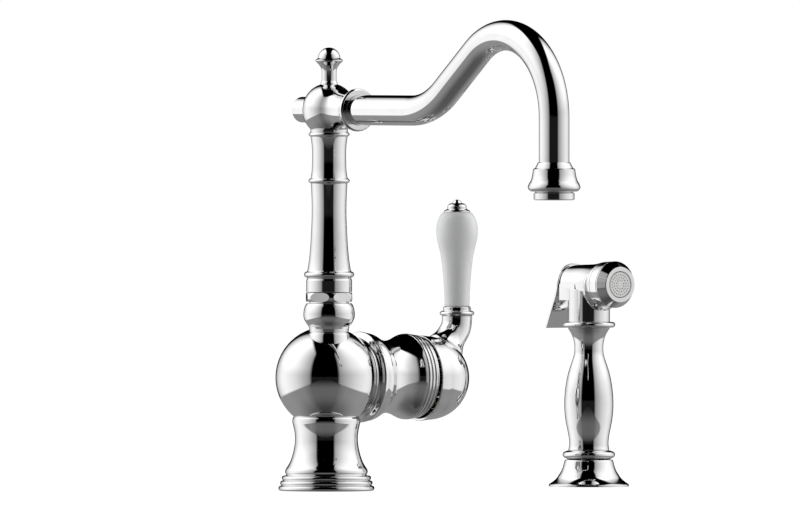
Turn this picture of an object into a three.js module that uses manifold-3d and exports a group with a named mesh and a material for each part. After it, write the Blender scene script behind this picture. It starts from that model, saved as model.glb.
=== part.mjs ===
// Kitchen faucet with a side spray: a turned body with a swivelling swan-neck spout, a side lever
// with a porcelain grip, and a separate hand spray standing in its own holder.
//
// Frame: millimetres, +Z up. The origin is the centre of the faucet's foot on the deck.
// The spout points along -Y (the front), the lever and the spray lie towards +X.

import * as THREE from 'three';
import { mergeVertices } from 'three/addons/utils/BufferGeometryUtils.js';
import Module from 'manifold-3d';

const wasm = await Module();
wasm.setup();

// ---------------------------------------------------------------- driving dimensions

const GAP = 0.3;                    // clearance between neighbouring pieces
const VISIBLE_SIDES = 20;           // facets round a visible turned piece
const SMALL_SIDES = 12;             // facets round a small or hidden piece
const TINY_SIDES = 8;               // facets round pins, screws and ports

const FOOT_R = 30.35;               // foot diameter 60.7
const BALL_R = 32.2;                // body ball
const BALL_Z = 71.5;
const HOLLOW_R = 16.5;              // hose space through the foot and up into the ball
const HOLLOW_ROOF_Z = 62;

const ARM_Z = 71.5;                 // axis of the valve arm and cartridge
const ARM_END = 60.3;               // open end of the valve arm, measured along +X
const TRIM_END = 70.2;              // end of the trim ring, just short of the lever's rim
const CARTRIDGE_BORE_R = 18;
const CARTRIDGE_FLOOR = 41;
const LEVER_PIVOT = 62;             // lever pin, measured along +X
const DOME_CENTRE = 78.5;
const DOME_Z = ARM_Z - 1.1;         // the lever's dome hangs a little below the arm's axis
const DOME_R = 26.5;
const DOME_WALL = 1.5;
const DOME_RIM = -7.3;              // rim of the dome's skirt, measured from its centre
const DOME_RIM_R = 27.1;
const GRIP_AXIS = 101.6;             // upright handle axis, measured along +X
const COLLAR_FOOT_Z = 109.5;         // underside of the collar on the lever's arm
const GRIP_FOOT_Z = 115.7;
const GRIP_TOP_Z = 175.4;

const COLUMN = { x: -4.3, y: -9 };  // spout column axis
const BULB_TOP_Z = 118.6;
const GLAND_BASE_Z = 119.6;
const COLUMN_FOOT_Z = 125.6;
const SPIGOT_R = 9;
const HUB_R = 17;
const HUB_Z = 240.7;

const TUBE_R = 9.525;               // 3/4 inch spout tube
const TUBE_BORE_R = 8.4;
const RISE_ANGLE = THREE.MathUtils.degToRad(36.9);
const ARCH_R = 51.3;
const ARCH_REACH = 190.8;           // arch centre, measured from the column towards the front
const ARCH_Z = 236.9;
const SPOUT_REACH = ARCH_REACH + ARCH_R;
const LOWER_BEND_R = 60;
const NOZZLE_Z = 191;               // mouth of the bell at the spout's end

const SPRAY_X = 205;                // spray holder, hole spacing of about 8 inches
const HOLDER_R = 25.6;
const HOLDER_TOP_Z = 17;
const HEAD_Z = 128.9;               // axis of the spray head
const HEAD_R = 12.8;
const HEAD_BACK = -13.9;            // flat rear end of the head, measured towards the front
const HEAD_FRONT = 19.9;            // front end of the head, where the bezel starts
const FACE_FRONT = 34.1;            // flat front of the bezel
const HEAD_FLOOR_Z = 118.7;         // flat underside of the head behind its neck
const VALVE_Z = HEAD_Z - 3;         // axis of the valve that the trigger opens
const TRIGGER_PIN = { back: 11.5, z: 135.4 };

// Water ways inside the body: two inlets to the cartridge, one outlet to the diverter chamber.
const BALL_CLEAR = BALL_R + GAP;
const INLET = { x: 7.5, y: 8.5, r: 2.8 };
const OUTLET = { y: -5, z: 80, r: 2.8 };
const CHAMBER_R = 6.2;
const CHAMBER_TOP_Z = 84;
const NIPPLE_R = 8.2;

// ---------------------------------------------------------------- finishes

const finish = (color, roughness, metalness) => () =>
  new THREE.MeshStandardMaterial({ color, roughness, metalness });
const chrome = finish(0xd9dcdf, 0.05, 1);
const brass = finish(0xb8964f, 0.35, 1);
const steel = finish(0xa9adb2, 0.3, 1);
const porcelain = finish(0xf4f3f0, 0.15, 0);
const ceramic = finish(0xd8d6cf, 0.4, 0);
const rubber = finish(0x1c1c1e, 0.8, 0);
const whitePlastic = finish(0xe6e6e2, 0.45, 0);
const blackPlastic = finish(0x26272a, 0.5, 0);

// ---------------------------------------------------------------- shape helpers

// A closed profile of [radius, height] points turned about Z.
function turned(profile, sides = VISIBLE_SIDES) {
  const points = profile.map(([r, z]) => new THREE.Vector2(r, z));
  return new THREE.LatheGeometry(points, sides).rotateX(Math.PI / 2);
}

// A turned ring: an outer profile going up, closed by a straight bore.
function bored(outer, boreR, sides = VISIBLE_SIDES) {
  const low = outer[0][1];
  const high = outer[outer.length - 1][1];
  return turned([...outer, [boreR, high], [boreR, low], outer[0]], sides);
}

// A solid round bar or disc about Z.
function bar(r, low, high, sides = SMALL_SIDES) {
  return turned([[0, low], [r, low], [r, high], [0, high]], sides);
}

// A plain tube or washer about Z.
function sleeve(outerR, innerR, low, high, sides = SMALL_SIDES) {
  return bored([[outerR, low], [outerR, high]], innerR, sides);
}

// An O-ring: a round section turned about Z.
function oRing(centreR, z, sectionR) {
  const section = arc(centreR, z, sectionR, 0, 360, 6);
  return turned(section, SMALL_SIDES);
}

// Points on a circular arc in the profile plane, angles in degrees from the +radius direction.
function arc(r, z, radius, from, to, steps) {
  return Array.from({ length: steps + 1 }, (_, i) => {
    const angle = THREE.MathUtils.degToRad(from + ((to - from) * i) / steps);
    return [r + radius * Math.cos(angle), z + radius * Math.sin(angle)];
  });
}

// A half-round bead standing out of a turned profile.
function bead(z, outerR, halfHeight, depth = halfHeight) {
  return arc(0, 0, 1, -90, 90, 4).map(([c, s]) => [outerR - depth * (1 - c), z + halfHeight * s]);
}

// A smooth stretch of profile through a few points.
function smooth(points, steps) {
  const curve = new THREE.SplineCurve(points.map(([r, z]) => new THREE.Vector2(r, z)));
  return curve.getPoints(steps).map(({ x, y }) => [x, y]);
}

// A box from its lowest and highest corners.
function block([x0, y0, z0], [x1, y1, z1]) {
  return new THREE.BoxGeometry(x1 - x0, y1 - y0, z1 - z0)
    .translate((x0 + x1) / 2, (y0 + y1) / 2, (z0 + z1) / 2);
}

// A round bar from point a to point b.
function rod(a, b, r, endR = r, sides = TINY_SIDES) {
  const from = new THREE.Vector3(...a);
  const along = new THREE.Vector3(...b).sub(from);
  const turn = new THREE.Quaternion().setFromUnitVectors(
    new THREE.Vector3(0, 1, 0), along.clone().normalize());
  return new THREE.CylinderGeometry(endR, r, along.length(), sides)
    .applyQuaternion(turn)
    .translate(from.x + along.x / 2, from.y + along.y / 2, from.z + along.z / 2);
}

function ball(r, centre, sides = VISIBLE_SIDES) {
  return turned(arc(0, 0, r, -90, 90, sides / 2).map(([x, z]) => [Math.max(x, 0), z]), sides)
    .translate(...centre);
}

// ---------------------------------------------------------------- joining and cutting

function toSolid(geometry) {
  const bare = geometry.clone();
  bare.deleteAttribute('normal');
  bare.deleteAttribute('uv');
  const merged = mergeVertices(bare, 1e-4);
  return new wasm.Manifold(new wasm.Mesh({
    numProp: 3,
    vertProperties: new Float32Array(merged.attributes.position.array),
    triVerts: new Uint32Array(merged.index.array),
  }));
}

// One body: the first shapes joined, then the cutters taken away.
function carve(joined, cutters = []) {
  let solid = joined.map(toSolid).reduce((all, next) => all.add(next));
  for (const cutter of cutters) solid = solid.subtract(toSolid(cutter));
  const mesh = solid.getMesh();
  const geometry = new THREE.BufferGeometry();
  geometry.setAttribute('position', new THREE.BufferAttribute(mesh.vertProperties, 3));
  geometry.setIndex(new THREE.BufferAttribute(mesh.triVerts, 1));
  geometry.computeVertexNormals();
  return geometry;
}

function piece(parent, name, geometry, makeFinish) {
  const mesh = new THREE.Mesh(geometry, makeFinish());
  mesh.name = name;
  parent.add(mesh);
  return mesh;
}

// ---------------------------------------------------------------- foot and body

function addFoot(group) {
  const waist = smooth([[26.1, 12.4], [25, 14.8], [23.4, 17.4], [21.7, 21.7], [19.9, 32],
    [21.6, 43.2], [21.3, 45.4]], 10);
  const outer = [
    [FOOT_R, 0], [FOOT_R, 2.2], [28.7, 3.3],
    [29.2, 4.2], [29.2, 5.6], [27.5, 6.5],
    [28.2, 7.4], [28.2, 8.8], [25.3, 9.8],
    [25.9, 10.9], ...waist, [20.9, 46.4],
  ];
  const inner = [[HOLLOW_R, 46.4], [HOLLOW_R, 20], [22, 8], [22, 0]];
  const gasketSeat = [[24, 0], [24, 1.5], [28.7, 1.5], [28.7, 0]];
  const shell = turned([...outer, ...inner, ...gasketSeat, outer[0]]);
  piece(group, 'base_foot', carve([shell], [ball(BALL_CLEAR, [0, 0, BALL_Z])]), chrome);
  piece(group, 'base_gasket', sleeve(28.4, 24.4, 0, 1.2, VISIBLE_SIDES), rubber);
}

function addBody(group) {
  const collar = [[0, 12], [19, 12], [25.2, 19.9], [24.3, 21], [24.2, 22.4], [24.8, 23.8],
    [26.7, 24.8], ...bead(26.3, 28.6, 1.2)];
  const neck = smooth([[28.2, 27.6], [27.3, 32.5], [23.4, 41], [22.9, 45.5], [24, 51.8],
    [25.6, 56.2], [27, ARM_END]], 12);
  const arm = turned([...collar, ...neck, [0, ARM_END]])
    .rotateY(Math.PI / 2).translate(0, 0, ARM_Z);
  const cartridgeBore = rod([CARTRIDGE_FLOOR, 0, ARM_Z], [ARM_END + 5, 0, ARM_Z],
    CARTRIDGE_BORE_R, CARTRIDGE_BORE_R, VISIBLE_SIDES);
  const inlets = [INLET.y, -INLET.y].flatMap((y) => [
    rod([INLET.x, y, HOLLOW_ROOF_Z - 1], [INLET.x, y, ARM_Z + INLET.r], INLET.r),
    rod([INLET.x, y, ARM_Z], [CARTRIDGE_FLOOR + 1, y, ARM_Z], INLET.r - 0.1),
  ]);
  const outlet = rod([COLUMN.x + 2, OUTLET.y, OUTLET.z], [CARTRIDGE_FLOOR + 1, OUTLET.y, OUTLET.z],
    OUTLET.r);
  const chamber = rod([COLUMN.x, COLUMN.y, HOLLOW_ROOF_Z - 1],
    [COLUMN.x, COLUMN.y, CHAMBER_TOP_Z + 1], CHAMBER_R, CHAMBER_R, SMALL_SIDES);
  const nippleBore = rod([COLUMN.x, COLUMN.y, CHAMBER_TOP_Z], [COLUMN.x, COLUMN.y, 110],
    NIPPLE_R + GAP, NIPPLE_R + GAP, SMALL_SIDES);
  const hollow = rod([0, 0, 30], [0, 0, HOLLOW_ROOF_Z], HOLLOW_R, HOLLOW_R, VISIBLE_SIDES);
  const studHole = rod([-7, 7.5, HOLLOW_ROOF_Z - 1], [-7, 7.5, HOLLOW_ROOF_Z + 8], 3.4);
  piece(group, 'valve_body', carve([ball(BALL_R, [0, 0, BALL_Z]), arm],
    [hollow, cartridgeBore, ...inlets, outlet, chamber, nippleBore, studHole]), chrome);
}

function addFittings(group) {
  const stemR = 4;
  const fitting = (name, x, y, spigotR, shoulderR, boreR) => {
    const outer = [[stemR, 34], [stemR, 53], [shoulderR, 53.4], [shoulderR, 61.4], [spigotR, 61.6],
      [spigotR, 66]];
    piece(group, name, bored(outer, boreR, TINY_SIDES), brass).position.set(x, y, 0);
  };
  fitting('hot_inlet', INLET.x, INLET.y, 2.5, 4.8, 1.5);
  fitting('cold_inlet', INLET.x, -INLET.y, 2.5, 4.8, 1.5);
  fitting('spray_outlet', COLUMN.x, COLUMN.y, 5.8, 5.9, 2.9);

  const diverter = new THREE.Group();
  diverter.position.set(COLUMN.x, COLUMN.y, 0);
  group.add(diverter);
  const plunger = [[0, 74], [3, 74], [3, 76], [5.8, 76], [5.8, 77.6], [4.6, 78], [4.6, 79],
    [5.8, 79.4], [5.8, 81], [0, 81]];
  piece(diverter, 'diverter_piston', turned(plunger, SMALL_SIDES), whitePlastic);
  piece(diverter, 'diverter_spring', sleeve(5.4, 3.6, 66.4, 75.6), steel);
}

// ---------------------------------------------------------------- spout seat and gland

function addSpoutSeat(group) {
  const seat = new THREE.Group();
  seat.position.set(COLUMN.x, COLUMN.y, 0);
  group.add(seat);

  const pedestal = [[0, 86], [14.6, 86], [13.6, 93], [12.8, 99.2], [11.7, 101.1]];
  const bulb = smooth([[13.1, 101.7], [15.6, 107], [16.2, 111.5], [15.2, 116.6],
    [14.2, BULB_TOP_Z]], 7);
  const outer = turned([...pedestal, ...bulb, [12.4, BULB_TOP_Z], [12.4, 123], [0, 123]]);
  const bodyBall = ball(BALL_CLEAR, [-COLUMN.x, -COLUMN.y, BALL_Z]);
  const nipple = bar(NIPPLE_R, CHAMBER_TOP_Z + GAP, 100);
  const pocket = bar(SPIGOT_R + 0.6, 104, 130, SMALL_SIDES);
  const bushSeat = bar(SPIGOT_R + 1.8, 116, 130, SMALL_SIDES);
  const waterWay = bar(5.2, 70, 110, SMALL_SIDES);
  const shell = carve([carve([outer], [bodyBall]), nipple], [pocket, bushSeat, waterWay]);
  piece(seat, 'spout_seat', shell, chrome);

  piece(seat, 'swivel_bushing', sleeve(SPIGOT_R + 1.5, SPIGOT_R + 0.5, 116.3, 122.8), whitePlastic);

  const glandTop = COLUMN_FOOT_Z - GAP;
  const ring = turned([
    [14.6, GLAND_BASE_Z], [15.6, (GLAND_BASE_Z + glandTop) / 2], [14.6, glandTop],
    [SPIGOT_R + 0.4, glandTop], [SPIGOT_R + 0.4, 123.3], [12.7, 123.3], [12.7, GLAND_BASE_Z],
    [14.6, GLAND_BASE_Z],
  ]);
  const flatDistance = 14.2;           // from the axis to each of the six flats
  const cornerR = flatDistance / Math.cos(Math.PI / 6);
  const flats = new THREE.CylinderGeometry(cornerR, cornerR, 10, 6)
    .rotateX(Math.PI / 2)
    .translate(0, 0, (GLAND_BASE_Z + glandTop) / 2);
  const outside = carve([bar(20, GLAND_BASE_Z - 2, glandTop + 2)], [flats]);
  piece(seat, 'gland_nut', carve([ring], [outside]), chrome);
}

// ---------------------------------------------------------------- valve arm: cartridge and trim

// These pieces are turned about the arm's axis: local +Z runs along +X of the faucet.
function addCartridge(group) {
  const arm = new THREE.Group();
  arm.position.set(0, 0, ARM_Z);
  arm.rotation.y = Math.PI / 2;
  group.add(arm);

  // In arm coordinates local +X points down, so a height above the axis is a negative x.
  const ports = (low, high) => [
    rod([0, INLET.y, low], [0, INLET.y, high], 2.4),
    rod([0, -INLET.y, low], [0, -INLET.y, high], 2.4),
    rod([ARM_Z - OUTLET.z, OUTLET.y + 5, low], [ARM_Z - OUTLET.z, OUTLET.y + 5, high], 2.4),
  ];
  const disc = (r, low, high) => carve([bar(r, low, high, SMALL_SIDES)], ports(low - 1, high + 1));

  piece(arm, 'cartridge_seal', disc(17.4, 41.3, 43), rubber);
  const housing = turned([[0, 43.3], [17.6, 43.3], [17.6, 58], [13, 58], [13, 66], [10.6, 66],
    [10.6, 57.3], [14.5, 57.3], [14.5, 45.8], [0, 45.8]], SMALL_SIDES);
  piece(arm, 'cartridge_housing', carve([housing], ports(40, 46.5)), whitePlastic);
  piece(arm, 'fixed_disc', disc(14.1, 46.1, 49.1), ceramic);

  const nut = bored([[17.6, 58.4], [17.6, 69]], 13.4, SMALL_SIDES);
  const hex = carve([new THREE.CylinderGeometry(20.4, 20.4, 2, 6).rotateX(Math.PI / 2)
    .translate(0, 0, 69.8)], [bar(13.4, 67, 73)]);
  piece(arm, 'cartridge_nut', carve([nut, hex]), brass);

  // The trim ring: three ridges that step down towards the dome, a shoulder, and a recess for the
  // nut's hexagon, which holds the ring on.
  const ridges = [[27.2, 61.9], [26.8, 64.7], [26.4, 67.5]].flatMap(([r, z]) => [
    [r - 0.9, z - 1.2], [r, z - 0.4], [r, z + 0.4], [r - 1, z + 1.2]]);
  piece(arm, 'trim_ring', turned([...ridges, [25.2, 69.1], [25.2, TRIM_END], [21, TRIM_END],
    [21, 68.4], [18, 68.4], [18, ARM_END + GAP], [26.3, ARM_END + GAP], ridges[0]]), chrome);

  const movingDisc = carve(
    [bar(11.2, 49.4, 52.2), block([-6.5, -5.4, 51.9], [6.5, 5.4, 55.2])],
    [block([-4.5, -3.4, 52.2], [4.5, 3.4, 56]), bar(6.5, 49, 50.9)]);
  piece(arm, 'moving_disc', movingDisc, ceramic);

  // The rotor's corners pass the middles of the housing's flats with room to spare as it turns.
  const rotor = turned([[0, 55.6], [13.7, 55.6], [13.7, 56.9], [9.9, 56.9], [9.9, 71.5], [0, 71.5]],
    SMALL_SIDES);
  const stemSlots = [
    block([-6.6, -3.4, 55], [4.2, 3.4, 63]),
    block([-4.2, -3.4, 60], [7.8, 3.4, 72]),
  ];
  const pinHole = rod([0, -11, LEVER_PIVOT], [0, 11, LEVER_PIVOT], 1.8);
  piece(arm, 'cartridge_rotor', carve([rotor], [...stemSlots, pinHole]), blackPlastic);
  piece(arm, 'lever_pin', rod([0, -9.6, LEVER_PIVOT], [0, 9.6, LEVER_PIVOT], 1.5), steel);
}

// ---------------------------------------------------------------- lever

function addLever(group) {
  const stem = block([53.6, -3, ARM_Z - 3.5], [96, 3, ARM_Z + 3.5]);
  const pinHole = rod([LEVER_PIVOT, -5, ARM_Z], [LEVER_PIVOT, 5, ARM_Z], 1.8);
  piece(group, 'cartridge_stem', carve([stem], [pinHole]), steel);

  addLeverCasting(group);
  piece(group, 'lever_set_screw',
    rod([90, 0, ARM_Z - 3.9], [90, 0, ARM_Z - 7.4], 2.4), steel);

  const handle = new THREE.Group();
  handle.position.set(GRIP_AXIS, 0, 0);
  group.add(handle);
  addHandle(handle);
}

// The dome over the cartridge with the arm that carries the grip, one casting.
function addLeverCasting(group) {
  const innerR = DOME_R - DOME_WALL;
  const rimR = DOME_RIM_R - DOME_WALL;
  const shell = turned([
    [rimR, DOME_RIM], [DOME_RIM_R, DOME_RIM], ...arc(0, 0, DOME_R, 0, 90, 8),
    ...arc(0, 0, innerR, 90, 0, 6), [rimR, DOME_RIM],
  ].map(([r, z]) => [Math.max(r, 0), z])).rotateY(Math.PI / 2).translate(DOME_CENTRE, 0, DOME_Z);
  const boss = rod([84, 0, ARM_Z], [DOME_CENTRE + innerR - 1, 0, ARM_Z], 7.5, 7.5, SMALL_SIDES);
  const socket = block([80, -3.3, ARM_Z - 3.8], [96.4, 3.3, ARM_Z + 3.8]);

  // The arm leaves the dome along a radius and turns upright under the grip.
  const lean = THREE.MathUtils.degToRad(34.3);
  const alongLean = (distance) => [
    DOME_CENTRE + distance * Math.sin(lean), 0, DOME_Z + distance * Math.cos(lean)];
  const flare = rod(alongLean(24.4), alongLean(31), 11.6, 9.6, SMALL_SIDES);
  const straight = rod(alongLean(25), alongLean(37), 9.5, 9.5, SMALL_SIDES);
  const corner = alongLean((GRIP_AXIS - DOME_CENTRE) / Math.sin(lean));
  const bend = new THREE.QuadraticBezierCurve3(
    new THREE.Vector3(...alongLean(36.4)), new THREE.Vector3(...corner),
    new THREE.Vector3(GRIP_AXIS, 0, COLLAR_FOOT_Z - GAP));
  const section = new THREE.Shape().absarc(0, 0, 9.6, 0, Math.PI * 2);
  const elbow = new THREE.ExtrudeGeometry(section,
    { steps: 6, extrudePath: bend, curveSegments: SMALL_SIDES / 2 });
  const tieHole = rod([GRIP_AXIS, 0, 100], [GRIP_AXIS, 0, 112], 2.7);
  const screwHole = rod([90, 0, ARM_Z - 3], [90, 0, ARM_Z - 30], 2.8);
  piece(group, 'lever_casting',
    carve([shell, boss, flare, straight, elbow], [socket, tieHole, screwHole]), chrome);
}

// Pieces stacked on the upright handle axis.
function addHandle(handle) {
  const boreR = 2.9;
  const collar = [[9.2, COLLAR_FOOT_Z], ...bead(111.2, 10.7, 1.3), [8.8, 112.8],
    [8.7, GRIP_FOOT_Z - GAP]];
  piece(handle, 'handle_collar', bored(collar, boreR, SMALL_SIDES), chrome);

  const lower = smooth([[8, GRIP_FOOT_Z], [8.1, 121], [8.65, 132.3], [9.9, 144.9], [11.85, 154.4],
    [13.1, 161.5], [12.9, 167.1], [11.6, 171.5], [8.4, GRIP_TOP_Z]], 14);
  const grip = turned([...lower, [5.4, GRIP_TOP_Z], [5.4, GRIP_TOP_Z - 1.5],
    [boreR, GRIP_TOP_Z - 1.5],
    [boreR, GRIP_FOOT_Z + 1.5], [5.4, GRIP_FOOT_Z + 1.5], [5.4, GRIP_FOOT_Z], lower[0]]);
  piece(handle, 'porcelain_grip', grip, porcelain);
  const washer = (low, high) => sleeve(5.1, boreR, low, high, TINY_SIDES);
  piece(handle, 'grip_washer_lower', washer(GRIP_FOOT_Z, GRIP_FOOT_Z + 1.2), rubber);
  piece(handle, 'grip_washer_upper', washer(GRIP_TOP_Z - 1.2, GRIP_TOP_Z), rubber);

  const cap = turned([[2.9, 0.3], [8.3, 0.3], [8.2, 1], [6.1, 2.1], [6, 4.2], [4.9, 5.5],
    [2.7, 6.6], [1.2, 7.9], [0, 8.1], [0, 5.6], [2.9, 5.6], [2.9, 0.3]], SMALL_SIDES)
    .translate(0, 0, GRIP_TOP_Z);
  piece(handle, 'grip_cap', cap, chrome);
  piece(handle, 'grip_tie_rod', bar(2.4, 101, GRIP_TOP_Z + 5.2, TINY_SIDES), steel);
}

// ---------------------------------------------------------------- spout

// Centre line of the swan neck in the plane of the spout: x towards the front, z up.
// Stations are even in t, so a straight run takes one step and each bend takes several.
class SpoutPath extends THREE.Curve {
  constructor(startX, endZ) {
    super();
    const riseEndX = ARCH_REACH - ARCH_R * Math.sin(RISE_ANGLE);
    const riseEndZ = ARCH_Z + ARCH_R * Math.cos(RISE_ANGLE);
    const vertexX = riseEndX - (riseEndZ - HUB_Z) / Math.tan(RISE_ANGLE);
    const bendStart = vertexX - LOWER_BEND_R * Math.tan(RISE_ANGLE / 2);
    const at = (x, z) => new THREE.Vector3(x, 0, z);
    const bend = (from, to, steps, point) => Array.from({ length: steps + 1 },
      (_, i) => point(from + ((to - from) * i) / steps));
    this.stations = [
      at(startX, HUB_Z),
      ...bend(0, RISE_ANGLE, 5, (a) => at(bendStart + LOWER_BEND_R * Math.sin(a),
        HUB_Z + LOWER_BEND_R * (1 - Math.cos(a)))),
      ...bend(RISE_ANGLE, -Math.PI / 2, 17, (a) => at(ARCH_REACH - ARCH_R * Math.sin(a),
        ARCH_Z + ARCH_R * Math.cos(a))),
      at(SPOUT_REACH, endZ),
    ];
  }

  getUtoTmapping(u) {
    return u;
  }

  getPoint(t, target = new THREE.Vector3()) {
    const place = t * (this.stations.length - 1);
    const index = Math.min(Math.floor(place), this.stations.length - 2);
    return target.lerpVectors(this.stations[index], this.stations[index + 1], place - index);
  }
}

function addSpout(group) {
  const spout = new THREE.Group();       // local +X towards the front
  spout.position.set(COLUMN.x, COLUMN.y, 0);
  spout.rotation.z = -Math.PI / 2;
  group.add(spout);

  const shaft = smooth([[13.4, 141], [12.1, 151.9], [11.3, 164.5], [10.9, 177.1], [11.2, 187],
    [11.5, 193.4]], 7);
  const upperShaft = smooth([[11.7, 198], [10.8, 205.6], [10.7, 212], [11.4, 222.4]], 4);
  const outer = [
    [7.3, 106], [SPIGOT_R, 106], [SPIGOT_R, 107.4], [7.3, 107.4], [7.3, 110], [SPIGOT_R, 110],
    [SPIGOT_R, 112], [7.3, 112], [7.3, 114.6], [SPIGOT_R, 114.6], [SPIGOT_R, COLUMN_FOOT_Z],
    [14.5, COLUMN_FOOT_Z], [14.5, 133.3], [14, 134.1], ...bead(136.7, 15.8, 1.9), [13.8, 139.1],
    ...shaft, ...bead(195.9, 13, 1.4), ...upperShaft, ...bead(225.2, 12.95, 1.3), [11.9, 227.2],
    [11.9, 230], [0, 230],
  ];
  const hubClear = ball(HUB_R + GAP, [0, 0, HUB_Z]);
  const spigot = bar(8, 224, 232);
  const way = bar(6, 100, 240, SMALL_SIDES);
  const closed = turned([[0, 106], ...outer]);
  piece(spout, 'spout_column', carve([carve([closed], [hubClear]), spigot], [way]), chrome);
  piece(spout, 'spout_o_ring_lower', oRing(8.35, 108.7, 0.7), rubber);
  piece(spout, 'spout_o_ring_upper', oRing(8.35, 113.3, 0.7), rubber);

  const hubCuts = [
    rod([0, 0, 220], [0, 0, 232.3], 8.3, 8.3, SMALL_SIDES),
    rod([0, 0, 230], [0, 0, HUB_Z], 6, 6, SMALL_SIDES),
    rod([-2, 0, HUB_Z], [9, 0, HUB_Z], 6, 6, SMALL_SIDES),
    rod([8.2, 0, HUB_Z], [20, 0, HUB_Z], 9.3, 9.3, SMALL_SIDES),
    rod([-8, 0, HUB_Z], [-20, 0, HUB_Z], 5.3, 5.3, TINY_SIDES),
    rod([0, 0, 249], [0, 0, 260], 3.3, 3.3, TINY_SIDES),
  ];
  piece(spout, 'spout_hub', carve([ball(HUB_R, [0, 0, HUB_Z])], hubCuts), chrome);

  addHubTrim(spout);

  const wall = new THREE.Shape().absarc(0, 0, TUBE_R, 0, Math.PI * 2);
  wall.holes.push(new THREE.Path().absarc(0, 0, TUBE_BORE_R, 0, Math.PI * 2));
  const path = new SpoutPath(17.3, 199.3);
  const tube = new THREE.ExtrudeGeometry(wall,
    { steps: path.stations.length - 1, extrudePath: path, curveSegments: 7 });
  piece(spout, 'spout_tube', tube, chrome);

  addNozzle(spout);
}

// The finial, the rear plug and the collar that takes the spout tube.
function addHubTrim(spout) {
  const hubClear = ball(HUB_R + GAP, [0, 0, HUB_Z]);
  const stem = turned([[0, 252], [5.4, 252], [5.2, 257.4], [4.7, 258.6], [4.7, 266], [6.6, 269],
    [8.6, 271.4], [8.6, 272.4], [7.1, 273], ...arc(0, 273, 7.1, 12, 90, 5).slice(0, -1), [0, 280.1]],
  SMALL_SIDES);
  const shank = bar(3, 250, 260, TINY_SIDES);
  piece(spout, 'finial', carve([carve([stem], [hubClear]), shank]), chrome);

  const plug = turned([[0, 12], [8.2, 12], [8.2, 29.6], [7, 31.2], [5.4, 31.6], [0, 31.6]],
    SMALL_SIDES)
    .rotateY(-Math.PI / 2).translate(0, 0, HUB_Z);
  const plugShank = rod([-8.5, 0, HUB_Z], [-20, 0, HUB_Z], 5);
  piece(spout, 'rear_plug', carve([carve([plug], [hubClear]), plugShank]), chrome);

  // The collar grows out of the top ball with a fillet and ends in a flange.
  const flange = turned([[0, 8], [13.4, 8], [13.4, 10.6], [12, 12.8], [11.1, 16], [10.9, 21],
    [11.2, 26.6], [12.9, 29.2], [13.5, 30.4], [13.5, 31.6], [12.9, 32.6], [0, 32.6]])
    .rotateY(Math.PI / 2).translate(0, 0, HUB_Z);
  const columnClear = rod([0, 0, 215], [0, 0, 230 + GAP], 12.6, 12.6, VISIBLE_SIDES);
  const flangeShank = rod([8.8, 0, HUB_Z], [20, 0, HUB_Z], 9, 9, SMALL_SIDES);
  const tubeSocket = rod([17, 0, HUB_Z], [40, 0, HUB_Z], TUBE_R + GAP, TUBE_R + GAP, VISIBLE_SIDES);
  const way = rod([5, 0, HUB_Z], [20, 0, HUB_Z], 6.5, 6.5, SMALL_SIDES);
  piece(spout, 'spout_collar',
    carve([carve([flange], [hubClear, columnClear]), flangeShank], [tubeSocket, way]),
    chrome);
}

// The bell on the spout's end with the aerator inside it.
function addNozzle(spout) {
  const nozzle = new THREE.Group();
  nozzle.position.set(SPOUT_REACH, 0, 0);
  spout.add(nozzle);

  const boreR = TUBE_R + GAP;
  const bell = turned([
    [14.4, NOZZLE_Z], [15.8, 192.3], [16.4, 193.9], [15.8, 196], [14.85, 197.4], [14, 201.2],
    [13.3, 205], [12.4, 205.4], [10.9, 207.2], [10.6, 209.4], [boreR, 209.4], [boreR, 199],
    [12, 199], [12, NOZZLE_Z], [14.4, NOZZLE_Z],
  ]);
  piece(nozzle, 'aerator_housing', bell, chrome);
  const shell = turned([
    [12.6, 185.6], [12.85, 186.2], [12.85, 190.7], [11.7, 190.7], [11.7, 196.6], [10.2, 196.6],
    [10.2, 189.8], [9.2, 188], [9.2, 185.6], [12.6, 185.6],
  ]);
  piece(nozzle, 'aerator_shell', shell, chrome);
  const holes = [0, 1, 2, 3, 4, 5].map((i) => {
    const a = (i * Math.PI) / 3;
    const [x, y] = [6 * Math.cos(a), 6 * Math.sin(a)];
    return rod([x, y, 188], [x, y, 194], 1.6);
  });
  piece(nozzle, 'aerator_screen', carve([bar(9.9, 190.2, 192)], holes), whitePlastic);
  piece(nozzle, 'aerator_washer', sleeve(11.6, 9.2, 196.9, 198.7), rubber);
}

// ---------------------------------------------------------------- side spray

function addSprayHolder(spray) {
  const slope = smooth([[25.2, 1.9], [23, 4], [20.5, 6.5], [18.5, 9], [17.1, 11.6],
    [15.6, HOLDER_TOP_Z - 0.4]], 8);
  const holder = turned([
    [HOLDER_R, 0], [HOLDER_R, 1.2], ...slope, [14.9, HOLDER_TOP_Z], [12.6, HOLDER_TOP_Z],
    [12.6, 5], [16.6, 1.5], [16.6, 0], [17, 0], [17, 1.5], [22.5, 1.5], [22.5, 0], [HOLDER_R, 0],
  ]);
  piece(spray, 'spray_holder', holder, chrome);
  piece(spray, 'holder_gasket', sleeve(22.2, 17.3, 0, 1.2, VISIBLE_SIDES), rubber);
  piece(spray, 'holder_guide', sleeve(12.1, 11.2, 4, 16.7), blackPlastic);
}

function addHoseCoupling(spray) {
  const nut = turned([[4.2, 1.2], [9.4, 1.2], [10.8, 3], [10.8, 16.6], [6.9, 16.6], [6.9, 10],
    [4.2, 10], [4.2, 1.2]], SMALL_SIDES);
  piece(spray, 'hose_coupling', nut, brass);
  piece(spray, 'coupling_washer', sleeve(6.5, 4.4, 10.3, 11.7), rubber);
}

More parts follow.
